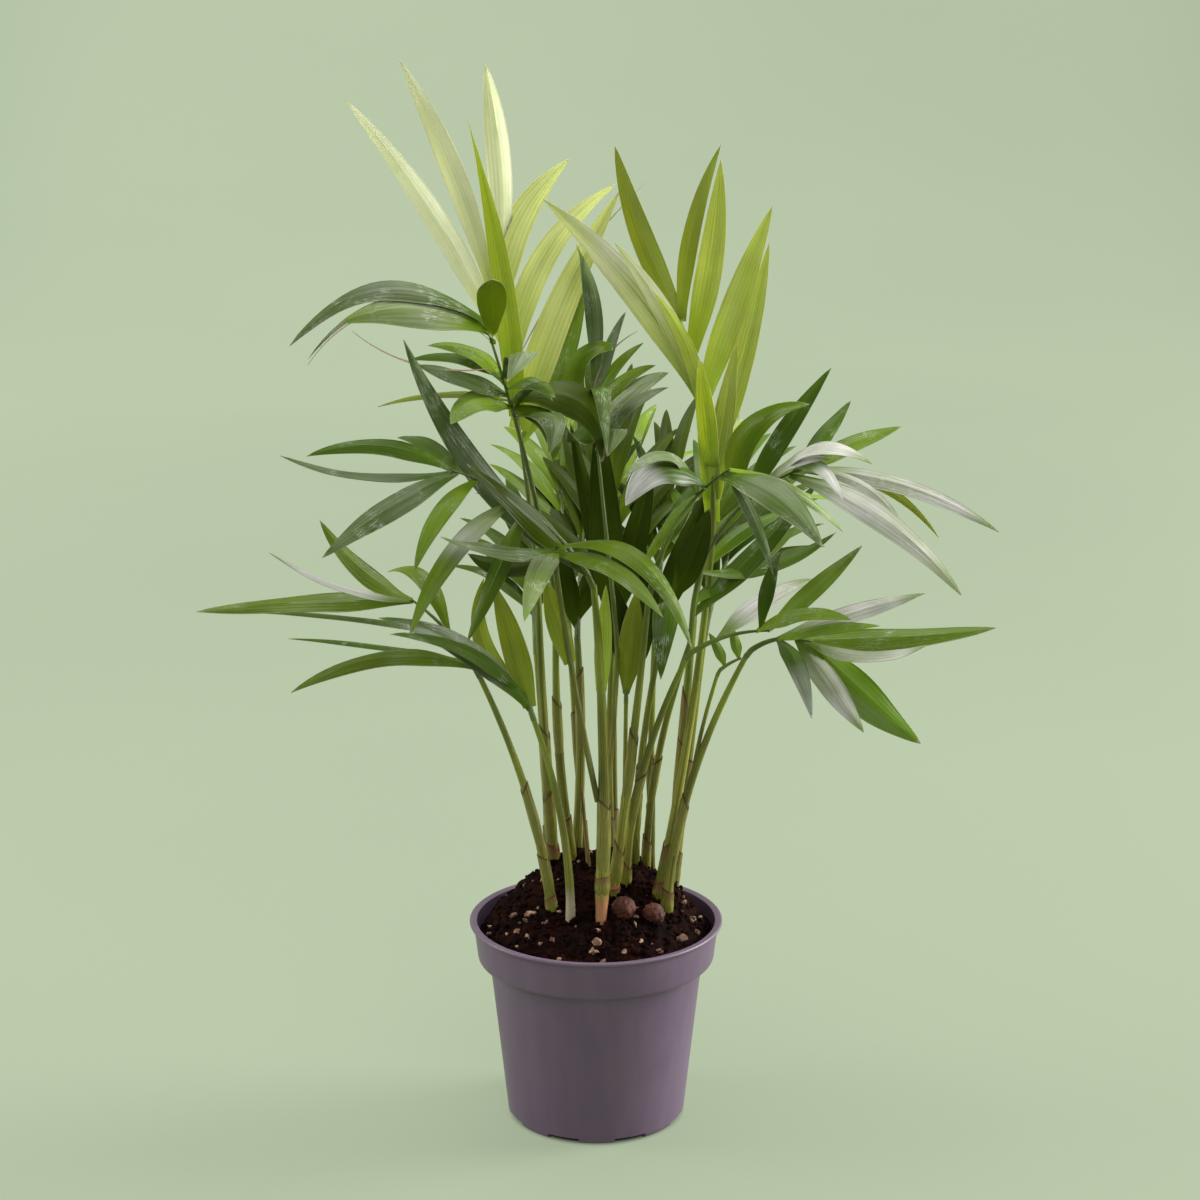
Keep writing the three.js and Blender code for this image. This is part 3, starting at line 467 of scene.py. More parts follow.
class Bend:
    """A quadratic curve from start to end, drawn towards control."""

    def __init__(self, start, control, end):
        self.start, self.control, self.end = start, control, end

    def at(self, t):
        return (1 - t) ** 2 * self.start + 2 * t * (1 - t) * self.control + t * t * self.end

    def tangent(self, t):
        way = (1 - t) * (self.control - self.start) + t * (self.end - self.control)
        return way.normalized()

    def frame(self, t, face=FRONT):
        """Middle, sideways and outward directions at a place."""
        tangent = self.tangent(t)
        side = tangent.cross(face).normalized()
        return self.at(t), side, side.cross(tangent)


def bowed(start, heading, rise, reach, bow):
    """A bend with the given chord, bowed upwards in the upright plane of the chord."""
    end = start + direction(heading, rise) * reach
    control = (start + end) / 2 + direction(heading, rise + 90) * (2 * bow * reach)
    return Bend(start, control, end)


def seeded_noise(seed):
    """Numbers between -1 and 1, the same on every run."""
    state, modulus = seed, 2147483647
    while True:
        state = (state * 16807) % modulus
        yield 2 * state / modulus - 1


def smooth_step(low, high, value):
    share = min(1.0, max(0.0, (value - low) / (high - low)))
    return share * share * (3 - 2 * share)


def marked_mesh(name):
    """An empty mesh whose vertices carry three numbers under this name."""
    bm = bmesh.new()
    bm.verts.layers.float_vector.new(name)
    return bm


def mesh_object(bm, name, materials, angle):
    """A smooth object of the mesh, with an edge wherever it turns by more than the angle."""
    for face in bm.faces:
        face.smooth = True
    for edge in bm.edges:
        edge.smooth = len(edge.link_faces) == 2 and edge.calc_face_angle(0) < math.radians(angle)
    mesh = bpy.data.meshes.new(name)
    bm.to_mesh(mesh)
    bm.free()
    for material in materials:
        mesh.materials.append(material)
    made = bpy.data.objects.new(name, mesh)
    bpy.context.scene.collection.objects.link(made)
    return made


def finish_piece(bm, name, materials, slot, replaced=(), angle=60):
    piece = mesh_object(bm, name, materials, angle)
    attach(piece, "root")
    if replaced:
        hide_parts(*replaced)


def turned(profile, steps):
    """A mesh turned round Z from points of radius and height. Its doubles stay in."""
    bm = bmesh.new()
    verts = [bm.verts.new((radius, 0, height)) for radius, height in profile]
    edges = [bm.edges.new(pair) for pair in zip(verts, verts[1:])]
    bmesh.ops.spin(bm, geom=verts + edges, cent=(0, 0, 0), axis=(0, 0, 1),
                   angle=2 * math.pi, steps=steps, use_merge=True)
    return bm


def rolled_tube(bm, sides, rings, place):
    """Rolls a grid into a closed tube. place(angle, along) gives each point and its marks,
    with the angle round the tube and along running from 0 to 1."""
    marks = bm.verts.layers.float_vector.active
    verts = bmesh.ops.create_grid(bm, x_segments=sides, y_segments=rings, size=1)["verts"]
    seam = [vert for vert in verts if abs(vert.co.x) > 1 - NEAR]
    for vert in seam:
        vert.co.x = -1
    for vert in verts:
        vert.co, vert[marks] = place(math.pi * (vert.co.x + 1), (vert.co.y + 1) / 2)
    bmesh.ops.remove_doubles(bm, verts=seam, dist=MERGE / 10)
    verts = [vert for vert in verts if vert.is_valid]
    rims = [edge for edge in {e for v in verts for e in v.link_edges} if edge.is_boundary]
    bmesh.ops.holes_fill(bm, edges=rims, sides=0)
    bmesh.ops.recalc_face_normals(bm, faces=list({f for v in verts for f in v.link_faces}))


def round_point(frame_there, radius, angle):
    """The point round a place on a bend, at an angle from its outward direction."""
    middle, side, out = frame_there
    return middle + side * (radius * math.sin(angle)) + out * (radius * math.cos(angle))


# ---------------------------------------------------------------- materials

# The bloom on a leaflet, the dark pits of a granule, the heights over which the pot's lip takes
# a painted highlight, and how deep and in which colours light goes into a leaflet.
BLOOM = (0.62, 0.64, 0.58, 1)
GRANULE_PITS = (0.13, 0.07, 0.045, 1)
LIP_HIGHLIGHT = (0.0955, 0.0972)
GLOW_DEPTH, GLOW_COLOURS = 2.1 * MM, (1.0, 1.0, 0.5)


class Signal:
    """An output of a shader node that adds, multiplies and eases like a number."""

    def __init__(self, kit, socket):
        self.kit, self.socket = kit, socket

    def __add__(self, other):
        return self.kit.maths("ADD", self, other)

    def __sub__(self, other):
        return self.kit.maths("SUBTRACT", self, other)

    def __mul__(self, other):
        return self.kit.maths("MULTIPLY", self, other)

    def between(self, low, high, start=0.0, end=1.0):
        """Eases from start to end while this one runs from low to high."""
        span = {"Value": self, "From Min": low, "From Max": high, "To Min": start, "To Max": end}
        return self.kit.node("MapRange", "Result", span, interpolation_type="SMOOTHSTEP")


class NodeKit:
    """Places and links the shader nodes of one tree."""

    def __init__(self, tree):
        self.tree = tree

    def put(self, value, socket):
        if isinstance(value, Signal):
            self.tree.links.new(value.socket, socket)
        else:
            socket.default_value = value

    def node(self, kind, result, values, **settings):
        """Makes a node, fills its inputs by name or number and returns one of its outputs."""
        made = self.tree.nodes.new("ShaderNode" + kind)
        for title, setting in settings.items():
            setattr(made, title, setting)
        for title, value in values.items():
            self.put(value, made.inputs[title])
        return Signal(self, made.outputs[result])

    def maths(self, operation, *terms):
        return self.node("Math", 0, dict(enumerate(terms)), operation=operation)

    def mix(self, share, a, b):
        return self.node("Mix", 2, {0: share, 6: a, 7: b}, data_type="RGBA")

    def brighten(self, tone, level):
        return self.node("HueSaturation", 0, {"Color": tone, "Value": level})

    def vector(self, *parts):
        return self.node("CombineXYZ", 0, dict(enumerate(parts)))

    def parts(self, vector):
        first = self.node("SeparateXYZ", 0, {0: vector})
        return [Signal(self, part) for part in first.socket.node.outputs]

    def marks(self, name):
        """The three numbers that the piece's vertices carry under this name."""
        return self.parts(self.node("Attribute", "Vector", {}, attribute_name=name))

    def place(self):
        return self.node("TexCoord", "Object", {})

    def clouds(self, vector, scale, detail=3.0, roughness=0.5):
        values = {"Vector": vector, "Scale": scale, "Detail": detail, "Roughness": roughness}
        return self.node("TexNoise", "Fac", values)

    def cells(self, vector, scale):
        return self.node("TexVoronoi", "Distance", {"Vector": vector, "Scale": scale})


def leaflet_surface(kit, face, vein, root, dry, gloss, streaks, bloom,
                    shine, shine_from, shine_to, root_reach):
    """Ribbed, veined, bloomed and given a painted sheen, from a leaflet's own marks: across, along and
    shade.
    """
    place = kit.place()
    across, along, shade = kit.marks("leaf")
    side = kit.maths("ABSOLUTE", across)
    veins = kit.maths("PINGPONG", across * 7.0, 1.0)
    drawn = kit.vector(across * 2.6, along * 0.8, shade * 37.0)
    streak = kit.clouds(drawn, 2.2, 4.0, 0.6).between(0.36, 0.68)
    tone = kit.mix(kit.maths("POWER", veins, 3.0) * streaks, face, vein)
    tone = kit.mix(streak * (streaks * 0.8), tone, vein)
    tone = kit.mix(along.between(root_reach, 0.0, 0.0, 0.9), tone, root)
    tone = kit.mix(side.between(0.09, 0.0) * 0.35, tone, root)
    tone = kit.mix(side.between(0.93, 1.0, 0.0, 0.6) * streaks, tone, dry)
    tone = kit.mix(along.between(0.955, 1.0, 0.0, 0.6), tone, dry)
    # Painted reflection: the pale gloss colour is mixed in between the shine places, in drifting
    # streaky patches, for the sheen of the lamps.
    painted_sheen_span = along.between(shine_from, shine_from + 0.26) * along.between(shine_to, shine_to - 0.22)
    painted_sheen_patches = kit.clouds(place, 24.0, 2.0).between(0.34, 0.62, 0.35, 1.0)
    tone = kit.mix(painted_sheen_span * painted_sheen_patches * (streak * 0.5 + 0.5) * shine, tone, gloss)
    patches = kit.clouds(place, 55.0).between(0.3, 0.7, 0.92, 1.08)
    tone = kit.brighten(tone, shade.between(0.0, 1.0, 0.84, 1.16) * patches)
    scratched = kit.vector(across * 11.0, along * 7.0, shade * 51.0)
    scratches = kit.clouds(scratched, 3.0, 2.0).between(0.56, 0.64, 0.0, 0.75)
    specks = kit.maths("MAXIMUM", kit.cells(place, 900.0).between(0.13, 0.07), scratches)
    dusty = kit.clouds(place, 80.0, 2.0).between(0.5, 0.66)
    tone = kit.mix(specks * dusty * bloom, tone, BLOOM)
    return {"Color": tone, "Roughness": streak.between(0.0, 1.0, 0.3, 0.42), "Height": veins}


def stem_surface(kit, foot, middle, light, top, scar, foot_end):
    """Streaked along its length, from a stem's own marks: two round it and one along."""
    place = kit.place()
    turn_x, turn_y, along = kit.marks("stem")
    lines = kit.vector(turn_x * 3.2, turn_y * 3.2, along * 1.6)
    grain = kit.clouds(lines, 1.6, 5.0, 0.65).between(0.38, 0.66)
    tone = kit.mix(grain * 0.7, middle, light)
    tone = kit.mix(along.between(0.4, 0.95, 0.0, 0.85), tone, top)
    tone = kit.mix(along.between(foot_end, foot_end * 0.55), tone, foot)
    x, y, z = kit.parts(place)
    mottle = kit.clouds(kit.vector(x, y, z * 0.25), 60.0, 2.0)
    tone = kit.brighten(tone, mottle.between(0.32, 0.68, 0.62, 1.3))
    spots = kit.clouds(place, 420.0, 2.0).between(0.66, 0.74)
    tone = kit.mix(spots * 0.35, tone, scar)
    return {"Color": tone, "Roughness": grain.between(0.0, 1.0, 0.25, 0.4), "Height": grain}


def sheath_surface(kit, skin, pale, margin, dry):
    """Papery, from a sheath's own marks: round it, along it and how dry it is."""
    turn, along, dryness = kit.marks("leaf")
    lines = kit.vector(turn * 9.0, along * 1.5, 0.0)
    grain = kit.clouds(lines, 2.0, 5.0, 0.6).between(0.38, 0.66)
    tone = kit.mix(grain * 0.6, skin, pale)
    tone = kit.mix(dryness * along.between(0.45, 0.88), tone, dry)
    tone = kit.mix(along.between(0.89, 0.93), tone, margin)
    return {"Color": tone, "Roughness": grain.between(0.0, 1.0, 0.3, 0.48), "Height": grain}


def moulded_plastic(kit, plastic, worn_and_lit):
    """Faint drawn streaks, scuffs, a painted highlight on the lip and a fine grain."""
    place = kit.place()
    x, y, z = kit.parts(place)
    drawn = kit.clouds(kit.vector(x, y, z * 0.2), 120.0, 4.0).between(0.35, 0.7)
    broad = kit.clouds(place, 22.0).between(0.35, 0.7)
    tone = kit.mix(drawn * 0.12, plastic, worn_and_lit)
    tone = kit.mix(broad * 0.12, tone, worn_and_lit)
    # Painted highlight: the top of the lip is mixed towards the lighter colour.
    tone = kit.mix(z.between(*LIP_HIGHLIGHT) * 0.15, tone, worn_and_lit)
    specks = kit.cells(place, 330.0).between(0.09, 0.05)
    rare = kit.clouds(place, 60.0, 2.0).between(0.6, 0.66)
    tone = kit.mix(specks * (rare * 0.5), tone, worn_and_lit)
    fine = kit.clouds(place, 2400.0, 2.0)
    return {"Color": tone, "Roughness": broad.between(0.0, 1.0, 0.42, 0.52),
            "Height": fine + drawn * 0.6}


def natural_grain(kit, dark, light, scale):
    """Two colours in clouds and fine grains."""
    place = kit.place()
    fine = kit.clouds(place, scale, 6.0, 0.7)
    coarse = kit.clouds(place, scale * 0.22)
    tone = kit.mix((fine + coarse * 0.6).between(0.7, 1.05), dark, light)
    return {"Color": tone, "Height": fine}


def shader_group(build, values):
    """The node group that a builder fills, made once, with an input for each value."""
    name = build.__name__.replace("_", " ")
    group = bpy.data.node_groups.get(name)
    if group:
        return group
    group = bpy.data.node_groups.new(name, "ShaderNodeTree")

    def add_socket(title, side, is_number):
        kind = "NodeSocketFloat" if is_number else "NodeSocketColor"
        group.interface.new_socket(title, in_out=side, socket_type=kind)

    for title, value in values.items():
        add_socket(title, "INPUT", isinstance(value, float))
    kit = NodeKit(group)
    given = group.nodes.new("NodeGroupInput").outputs
    results = build(kit, *(Signal(kit, given[title]) for title in values))
    for title in results:
        add_socket(title, "OUTPUT", title != "Color")
    out = group.nodes.new("NodeGroupOutput").inputs
    for title, result in results.items():
        kit.put(result, out[title])
    return group


def new_material(name):
    """A material with a kit for its tree and the inputs of its Principled shader."""
    material = bpy.data.materials.new(name)
    material.use_nodes = True
    kit = NodeKit(material.node_tree)
    return material, kit, kit.tree.nodes["Principled BSDF"].inputs


def surface(name, build, values, finish, height):
    """A Principled material with a finish of its own, fed by a node group. height: of the
    group's relief, in millimetres."""
    material = bpy.data.materials.get(name)
    if material:
        return material
    material, kit, shader = new_material(name)
    for title, value in finish.items():
        shader[title].default_value = value
    bump = kit.node("Bump", "Normal", {"Distance": height * MM, "Strength": 1.0})
    kit.put(bump, shader["Normal"])
    feeds = {"Color": shader["Base Color"], "Roughness": shader["Roughness"],
             "Height": bump.socket.node.inputs["Height"]}
    source = kit.node("Group", 0, values, node_tree=shader_group(build, values))
    for output in source.socket.node.outputs:
        kit.tree.links.new(output, feeds[output.name])
    return material


def palette():
    return bpy.context.scene.palm_colours


class Tone(NamedTuple):
    """How strongly a leaflet shows its streaks, its painted shine, a painted reflection, between two
    places along it, its bloom, the light it lets through and the light it mirrors, how far the
    root's colour reaches, and whose green it has where it has none of its own."""
    streaks: float = 0.2
    shine: float = 0.0
    shine_from: float = 0.08
    shine_to: float = 1.02
    bloom: float = 0.0
    glow: float = 0.0
    specular: float = 0.2
    root_reach: float = 0.5
    green: str = ""


# The painted shine is a painted reflection over the green: strongest on silver, sheen, tipped and
# crested leaflets, less on hazy, misty and cream ones, faint elsewhere.
TONES = {
    "cream": Tone(0.8, 0.1, glow=0.4, root_reach=0.3),
    "young": Tone(0.7, 0.04, glow=0.5),
    "lime": Tone(0.8, bloom=0.1, glow=0.6),
    "sheen": Tone(0.9, 0.75, 0.42, bloom=0.3, glow=0.45),
    "bright": Tone(0.7, bloom=0.2, glow=0.4),
    "olive": Tone(0.6, glow=0.3),
    "moss": Tone(0.6, bloom=0.5, specular=0.12),
    "fresh": Tone(0.3, glow=0.2),
    "deep": Tone(0.42, 0.012, bloom=0.6, specular=0.14),
    "dark": Tone(0.42, 0.008, bloom=0.8, specular=0.08),
    "shaded": Tone(0.16, specular=0.06),
    "misty": Tone(0.5, 0.15, bloom=0.9, specular=0.15, green="dark"),
    "hazy": Tone(0.5, 0.3, bloom=1.0, specular=0.15, green="deep"),
    "silver": Tone(0.45, 0.92, 0.08, 0.98, bloom=0.8),
    "tipped": Tone(0.35, 0.72, 0.45, 1.5, root_reach=0.2, green="dark"),
    "crested": Tone(0.4, 0.7, 0.02, 0.62, green="deep"),
    "thread": Tone(),
}


def leaf_material(name):
    colours, tone = palette(), TONES[name]
    if name == "thread":
        face = vein = root = colours.dry
    else:
        green = tone.green or name
        face, vein, root = (getattr(colours, green + ending) for ending in GREEN_PARTS)
    values = {"Face": face, "Vein": vein, "Root": root, "Dry": colours.dry, "Painted Gloss": colours.gloss,
              "Streaks": tone.streaks, "Bloom": tone.bloom, "Painted Shine": tone.shine,
              "Shine From": tone.shine_from, "Shine To": tone.shine_to,
              "Root Reach": tone.root_reach}
    finish = {"Specular IOR Level": tone.specular, "Subsurface Weight": tone.glow,
              "Subsurface Scale": GLOW_DEPTH, "Subsurface Radius": GLOW_COLOURS}
    return surface("leaf " + name, leaflet_surface, values, finish, height=0.045)


def stem_material(base):
    colours = palette()
    feet = {"green": colours.stem, "white": colours.foot_white, "orange": colours.foot_orange,
            "brown": colours.foot_brown, "dry": colours.sheath_dry, "rib": colours.dark}
    tops = {"dry": colours.sheath_edge, "rib": colours.dark_vein}
    values = {"Foot": feet[base], "Middle": colours.sheath_dry if base == "dry" else colours.stem,
              "Light": colours.stem_light, "Top": tops.get(base, colours.stem_top),
              "Scar": colours.sheath_edge, "Foot End": 0.24 if base == "white" else 0.14}
    return surface("stem " + base, stem_surface, values, {"Specular IOR Level": 0.4}, height=0.1)


def sheath_material():
    colours = palette()
    values = {"Skin": colours.stem, "Pale": colours.stem_light,
              "Margin": colours.sheath_edge, "Dry": colours.sheath_dry}
    return surface("sheath", sheath_surface, values, {}, height=0.12)


def pot_material():
    colours = palette()
    values = {"Plastic": colours.pot, "Worn And Lit": colours.pot_worn_and_lit}
    return surface("pot plastic", moulded_plastic, values, {}, height=0.05)


def grain_material(name, dark, light, scale, height, roughness, specular):
    values = {"Dark": dark, "Light": light, "Scale": scale}
    finish = {"Roughness": roughness, "Specular IOR Level": specular}
    return surface(name, natural_grain, values, finish, height)


# ---------------------------------------------------------------- the pot

POT_STEPS = 180
# The notches, in degrees: how wide, where the first one stands and how far a side slopes.
NOTCH_ANGLE, FIRST_NOTCH, NOTCH_SLOPE = 22, 293, 0.2
FOOT_ROUND, COLLAR_ROUND = 3.2 * MM, 2.6 * MM
EDGE, LEDGE = 0.5 * MM, 1 * MM
CLEARANCE = 0.4 * MM


def arc(middle_r, middle_z, radius, first, last, steps=5):
    """Points of radius and height round a middle, from one angle to another."""
    angles = [math.radians(first + (last - first) * i / steps) for i in range(steps + 1)]
    return [(middle_r + radius * math.cos(a), middle_z + radius * math.sin(a)) for a in angles]


def pot_profile(sizes):
    """Radius and height of points under the foot, up the outside and down the inside."""
    lip_foot = sizes.height - sizes.lip_thickness
    half_lip = sizes.lip_thickness / 2
    lean, rise = sizes.body_top - sizes.body_foot, sizes.body_height - FOOT_ROUND
    return [
        (0, 0),
        (sizes.body_foot - sizes.notch_depth, 0),
        *arc(sizes.body_foot - FOOT_ROUND, FOOT_ROUND, FOOT_ROUND, -90, -4),
        *((sizes.body_foot + lean * part, FOOT_ROUND + rise * part) for part in (0.2, 0.4, 0.6, 0.8)),
        (sizes.body_top, sizes.body_height - LEDGE),
        (sizes.body_top + EDGE, sizes.body_height),
        *arc(sizes.collar_foot - COLLAR_ROUND, sizes.body_height + COLLAR_ROUND, COLLAR_ROUND, -90, -6),
        ((sizes.collar_foot + sizes.collar_top) / 2, (sizes.collar_height + lip_foot) / 2),
        (sizes.collar_top, lip_foot - EDGE),
        *arc(sizes.lip_radius - half_lip, lip_foot + half_lip, half_lip, -80, 100, 8),
        (sizes.collar_top - sizes.wall, sizes.height - EDGE),
        (sizes.collar_top - sizes.wall - CLEARANCE, lip_foot - LEDGE),
        (sizes.collar_foot - sizes.wall, sizes.collar_height),
        (sizes.body_top - sizes.wall, sizes.body_height),
        (sizes.body_foot - sizes.wall, sizes.floor),
        (0, sizes.floor),
    ]


def cut_notches(bm, sizes):
    """Lifts the foot's edge over each notch, with its two sides drawn upright."""
    if not sizes.notches:
        return
    pitch, step, half = 360 / sizes.notches, 360 / POT_STEPS, NOTCH_ANGLE / 2
    for vert in bm.verts:
        radius = math.hypot(vert.co.x, vert.co.y)
        if vert.co.z >= sizes.notch_height or radius < sizes.body_foot - sizes.notch_depth - NEAR:
            continue
        angle = math.degrees(math.atan2(vert.co.y, vert.co.x)) % 360
        off = (angle - FIRST_NOTCH + pitch / 2) % pitch - pitch / 2
        if abs(abs(off) - half) < step:
            off = math.copysign(half - NOTCH_SLOPE if abs(off) < half else half, off)
            moved = math.radians(round((angle - FIRST_NOTCH) / pitch) * pitch + FIRST_NOTCH + off)
            vert.co.x, vert.co.y = radius * math.cos(moved), radius * math.sin(moved)
        if abs(off) < half - NOTCH_SLOPE / 2:
            vert.co.z = sizes.notch_height


class PALM_OT_pot(Operator):
    """Turns the pot's profile round its axis and cuts the drain notches"""
    bl_idname = "palm.pot"
    bl_label = "Pot"

    def execute(self, context):
        sizes = context.scene.palm_pot
        bm = turned(pot_profile(sizes), POT_STEPS)
        cut_notches(bm, sizes)
        bmesh.ops.remove_doubles(bm, verts=bm.verts, dist=MERGE)
        bmesh.ops.recalc_face_normals(bm, faces=bm.faces)
        finish_piece(bm, "nursery_pot", [pot_material()], "pot", ["pot"], angle=38)
        return {"FINISHED"}


# ---------------------------------------------------------------- the soil

SOIL_RINGS, SOIL_STEPS = 74, 320
CRUMB_SEED, GRANULE_SEED = 31, 97
CRUMBS_AT_A_FOOT = 30
# How steeply the mound falls, and how much more of it lies behind the peak.
FALL, FALL_BEHIND = 2.15, 0.85
# Sizes of pebbles: the least, the most that chance adds, and how rare the large ones are.
LOOSE_CRUMBS, FOOT_CRUMBS, FINE_GRANULES = (0.45, 1.25, 2.6), (0.5, 1.1, 2), (0.35, 0.5, 1)


def wall_radius(z):
    """Inner radius of the pot at a height, with a little room to spare."""
    sizes = bpy.context.scene.palm_pot
    if z > sizes.collar_height:
        r0, z0, r1, z1 = sizes.collar_foot, sizes.collar_height, sizes.collar_top, sizes.height
    else:
        r0, z0, r1, z1 = sizes.body_foot, sizes.floor, sizes.body_top, sizes.body_height
    return r0 + (r1 - r0) * (z - z0) / (z1 - z0) - sizes.wall - CLEARANCE


def soil_radius():
    return wall_radius(bpy.context.scene.palm_soil.edge)


def soil_height(x, y):
    """Height of the mound: it falls from its peak to an even edge, slowly at the back."""
    soil = bpy.context.scene.palm_soil
    away = Vector((x, y - soil.peak_place))
    distance = away.length
    if distance < MERGE / 10:
        return soil.peak
    away /= distance
    along = soil.peak_place * away.y
    to_wall = -along + math.sqrt(along ** 2 - soil.peak_place ** 2 + soil_radius() ** 2)
    fall = min(1.0, distance / to_wall) ** (FALL + FALL_BEHIND * away.y)
    return soil.edge + (soil.peak - soil.edge) * (1 - fall)


def clods(place):
    """Unevenness of the soil between about -1 and 1."""
    rough = noise.fractal(place * 190, 0.7, 2.1, 5)
    lumps = noise.noise(place * 75)
    pits = abs(noise.noise(place * 260))
    return 0.55 * rough + 0.6 * lumps - 0.5 * pits


def soil_surface(x, y):
    """Height of the mound with its clods, which are lower along the wall."""
    height = soil_height(x, y)
    calm = 1 - 0.5 * smooth_step(0.9, 1.0, math.hypot(x, y) / soil_radius())
    return height + bpy.context.scene.palm_soil.relief * calm * clods(Vector((x, y, height)))


def scattered(dice, reach):
    """A place on the soil within reach of the pot's axis."""
    radius = reach * math.sqrt(abs(next(dice)))
    turn = math.pi * next(dice)
    return radius * math.cos(turn), radius * math.sin(turn)


def pebble_size(dice, least, added, rarity):
    return (least + added * abs(next(dice)) ** rarity) * MM


def lay_pebble(bm, x, y, lift, size, dice, fineness=1, unevenness=0.4):
    """A small uneven lump whose middle is lifted above the soil."""
    place = Vector((x, y, soil_surface(x, y) + lift))
    ball = bmesh.ops.create_icosphere(bm, subdivisions=fineness, radius=size)["verts"]
    stretch = Vector((1 + 0.35 * next(dice), 1 + 0.35 * next(dice), 0.8 + 0.25 * next(dice)))
    turn = Matrix.Rotation(math.pi * next(dice), 3, "Z") @ Matrix.Rotation(next(dice), 3, "X")
    for vert in ball:
        out = 1 + unevenness * noise.noise(vert.co / size * 1.3 + place * 700)
        vert.co = place + turn @ Vector(a * b * out for a, b in zip(vert.co, stretch))


def lay_crumbs(peat):
    """Loose crumbs of peat all over the mound, and more round the foot of each stem."""
    bm = bmesh.new()
    dice = seeded_noise(CRUMB_SEED)
    for _ in range(bpy.context.scene.palm_soil.crumbs):
        x, y = scattered(dice, soil_radius() - 1.5 * MM)
        size = pebble_size(dice, *LOOSE_CRUMBS)
        lay_pebble(bm, x, y, 0.25 * size, size, dice)
    for row in STEMS.values():
        if not rooted(row):
            continue
        for _ in range(CRUMBS_AT_A_FOOT):
            turn = math.pi * next(dice)
            away = (0.95 * row.radii[0] + 1.2 * abs(next(dice))) * MM
            x = row.foot[0] * MM + away * math.cos(turn)
            y = row.foot[1] * MM + away * math.sin(turn)
            size = pebble_size(dice, *FOOT_CRUMBS)
            lay_pebble(bm, x, y, 0.5 * size, size, dice)
    finish_piece(bm, "peat_crumbs", [peat], "soil", angle=80)


class PALM_OT_soil(Operator):
    """Turns the mound of peat down to the pot's floor, raises its clods and lays its crumbs"""
    bl_idname = "palm.soil"
    bl_label = "Soil"

    def execute(self, context):
        pot, soil = context.scene.palm_pot, context.scene.palm_soil
        side = [pot.floor + CLEARANCE, pot.body_height, pot.collar_height + LEDGE]
        profile = [(0, side[0])] + [(wall_radius(z), z) for z in side]
        rings = [1 - i / SOIL_RINGS for i in range(SOIL_RINGS + 1)]
        profile += [(soil_radius() * ring, soil.edge) for ring in rings]
        bm = turned(profile, SOIL_STEPS)
        bmesh.ops.remove_doubles(bm, verts=bm.verts, dist=MERGE)
        for vert in bm.verts:
            if vert.co.z > soil.edge - NEAR:
                vert.co.z = soil_surface(vert.co.x, vert.co.y)
        bmesh.ops.recalc_face_normals(bm, faces=bm.faces)
        colours = palette()
        peat = grain_material("peat", colours.soil, colours.soil_light, scale=420.0,
                              height=0.9, roughness=0.95, specular=0.06)
        finish_piece(bm, "peat_mound", [peat], "soil", ["soil"], angle=80)
        lay_crumbs(peat)
        return {"FINISHED"}


class PALM_OT_granules(Operator):
    """Lays the white granules on the soil"""
    bl_idname = "palm.granules"
    bl_label = "Granules"

    def execute(self, context):
        bm = bmesh.new()
        dice = seeded_noise(GRANULE_SEED)
        grains = [(x * MM, y * MM, size * MM) for x, y, size in GRANULES]
        for _ in range(context.scene.palm_soil.granules):
            spot = scattered(dice, soil_radius() - 3 * MM)
            grains.append((*spot, pebble_size(dice, *FINE_GRANULES)))
        for x, y, size in grains:
            lay_pebble(bm, x, y, 0.2 * size, 1.4 * size, dice, fineness=2, unevenness=0.9)
        grit = grain_material("granules", GRANULE_PITS, palette().granule, scale=520.0,
                              height=0.5, roughness=0.8, specular=0.3)
        finish_piece(bm, "white_granules", [grit], "soil")
        return {"FINISHED"}


class PALM_OT_seeds(Operator):
    """Makes the two seeds with their fibrous husks"""
    bl_idname = "palm.seeds"
    bl_label = "Seeds"

    def execute(self, context):
        colours = palette()
        husk = grain_material("husk", colours.seed, colours.seed_light, scale=500.0,
                              height=0.5, roughness=0.7, specular=0.35)
        for name, (x, y, radius, lift) in SEEDS.items():
            middle = Vector((x * MM, y * MM, soil_height(x * MM, y * MM) + radius * lift * MM))
            bm = bmesh.new()
            ball = bmesh.ops.create_uvsphere(bm, u_segments=48, v_segments=32, radius=1)["verts"]
            for vert in ball:
                way = vert.co.normalized()
                fibres = noise.noise(Vector((way.x * 4, way.y * 4, way.z * 13)) + middle * 90)
                lumps = noise.noise(way * 2.6 + middle * 50)
                vert.co = middle + way * radius * MM * (0.97 + 0.07 * fibres + 0.08 * lumps)
            finish_piece(bm, "husk_" + name, [husk], "seed", [name])
        return {"FINISHED"}


# ---------------------------------------------------------------- stems

BURIED = 7 * MM
STEM_SIDES, STEM_RINGS = 20, 64
SHEATH_SIDES, SHEATH_RINGS = 24, 34
# Shares of a stem: where its foot's flare ends, its fullness, and the swelling at a scar.
FLARE_END, FULLNESS, SCAR_SWELL, SCAR_REACH = 0.16, 0.88, 0.1, 0.012
# Shares along a sheath: where its margin stands, and from where it is turned back in.
MARGIN, TURNED_IN = 0.94, 0.965
# How far a sheath stands off at its foot, how much more at its margin, and its frill.
SHEATH_LIFT, SHEATH_OPENING, SHEATH_FRILL = 0.08, 0.42, 0.12


def rooted(row):
    return len(row.foot) == 2


def stem_bend(row):
    if rooted(row):
        x, y = (c * MM for c in row.foot)
        start = Vector((x, y, soil_height(x, y) - BURIED))
    else:
        start = Vector(row.foot) * MM
    end = Vector(row.tip) * MM
    return Bend(start, (start + end) / 2 + Vector((2 * row.bow * MM, 0, 0)), end)


def stem_radius(row, along):
    foot, tip = row.radii
    radius = foot + (tip - foot) * along
    flare = row.flare * max(0.0, 1 - along / FLARE_END) ** 1.5 if rooted(row) else 0.0
    return radius * (FULLNESS + flare) * MM


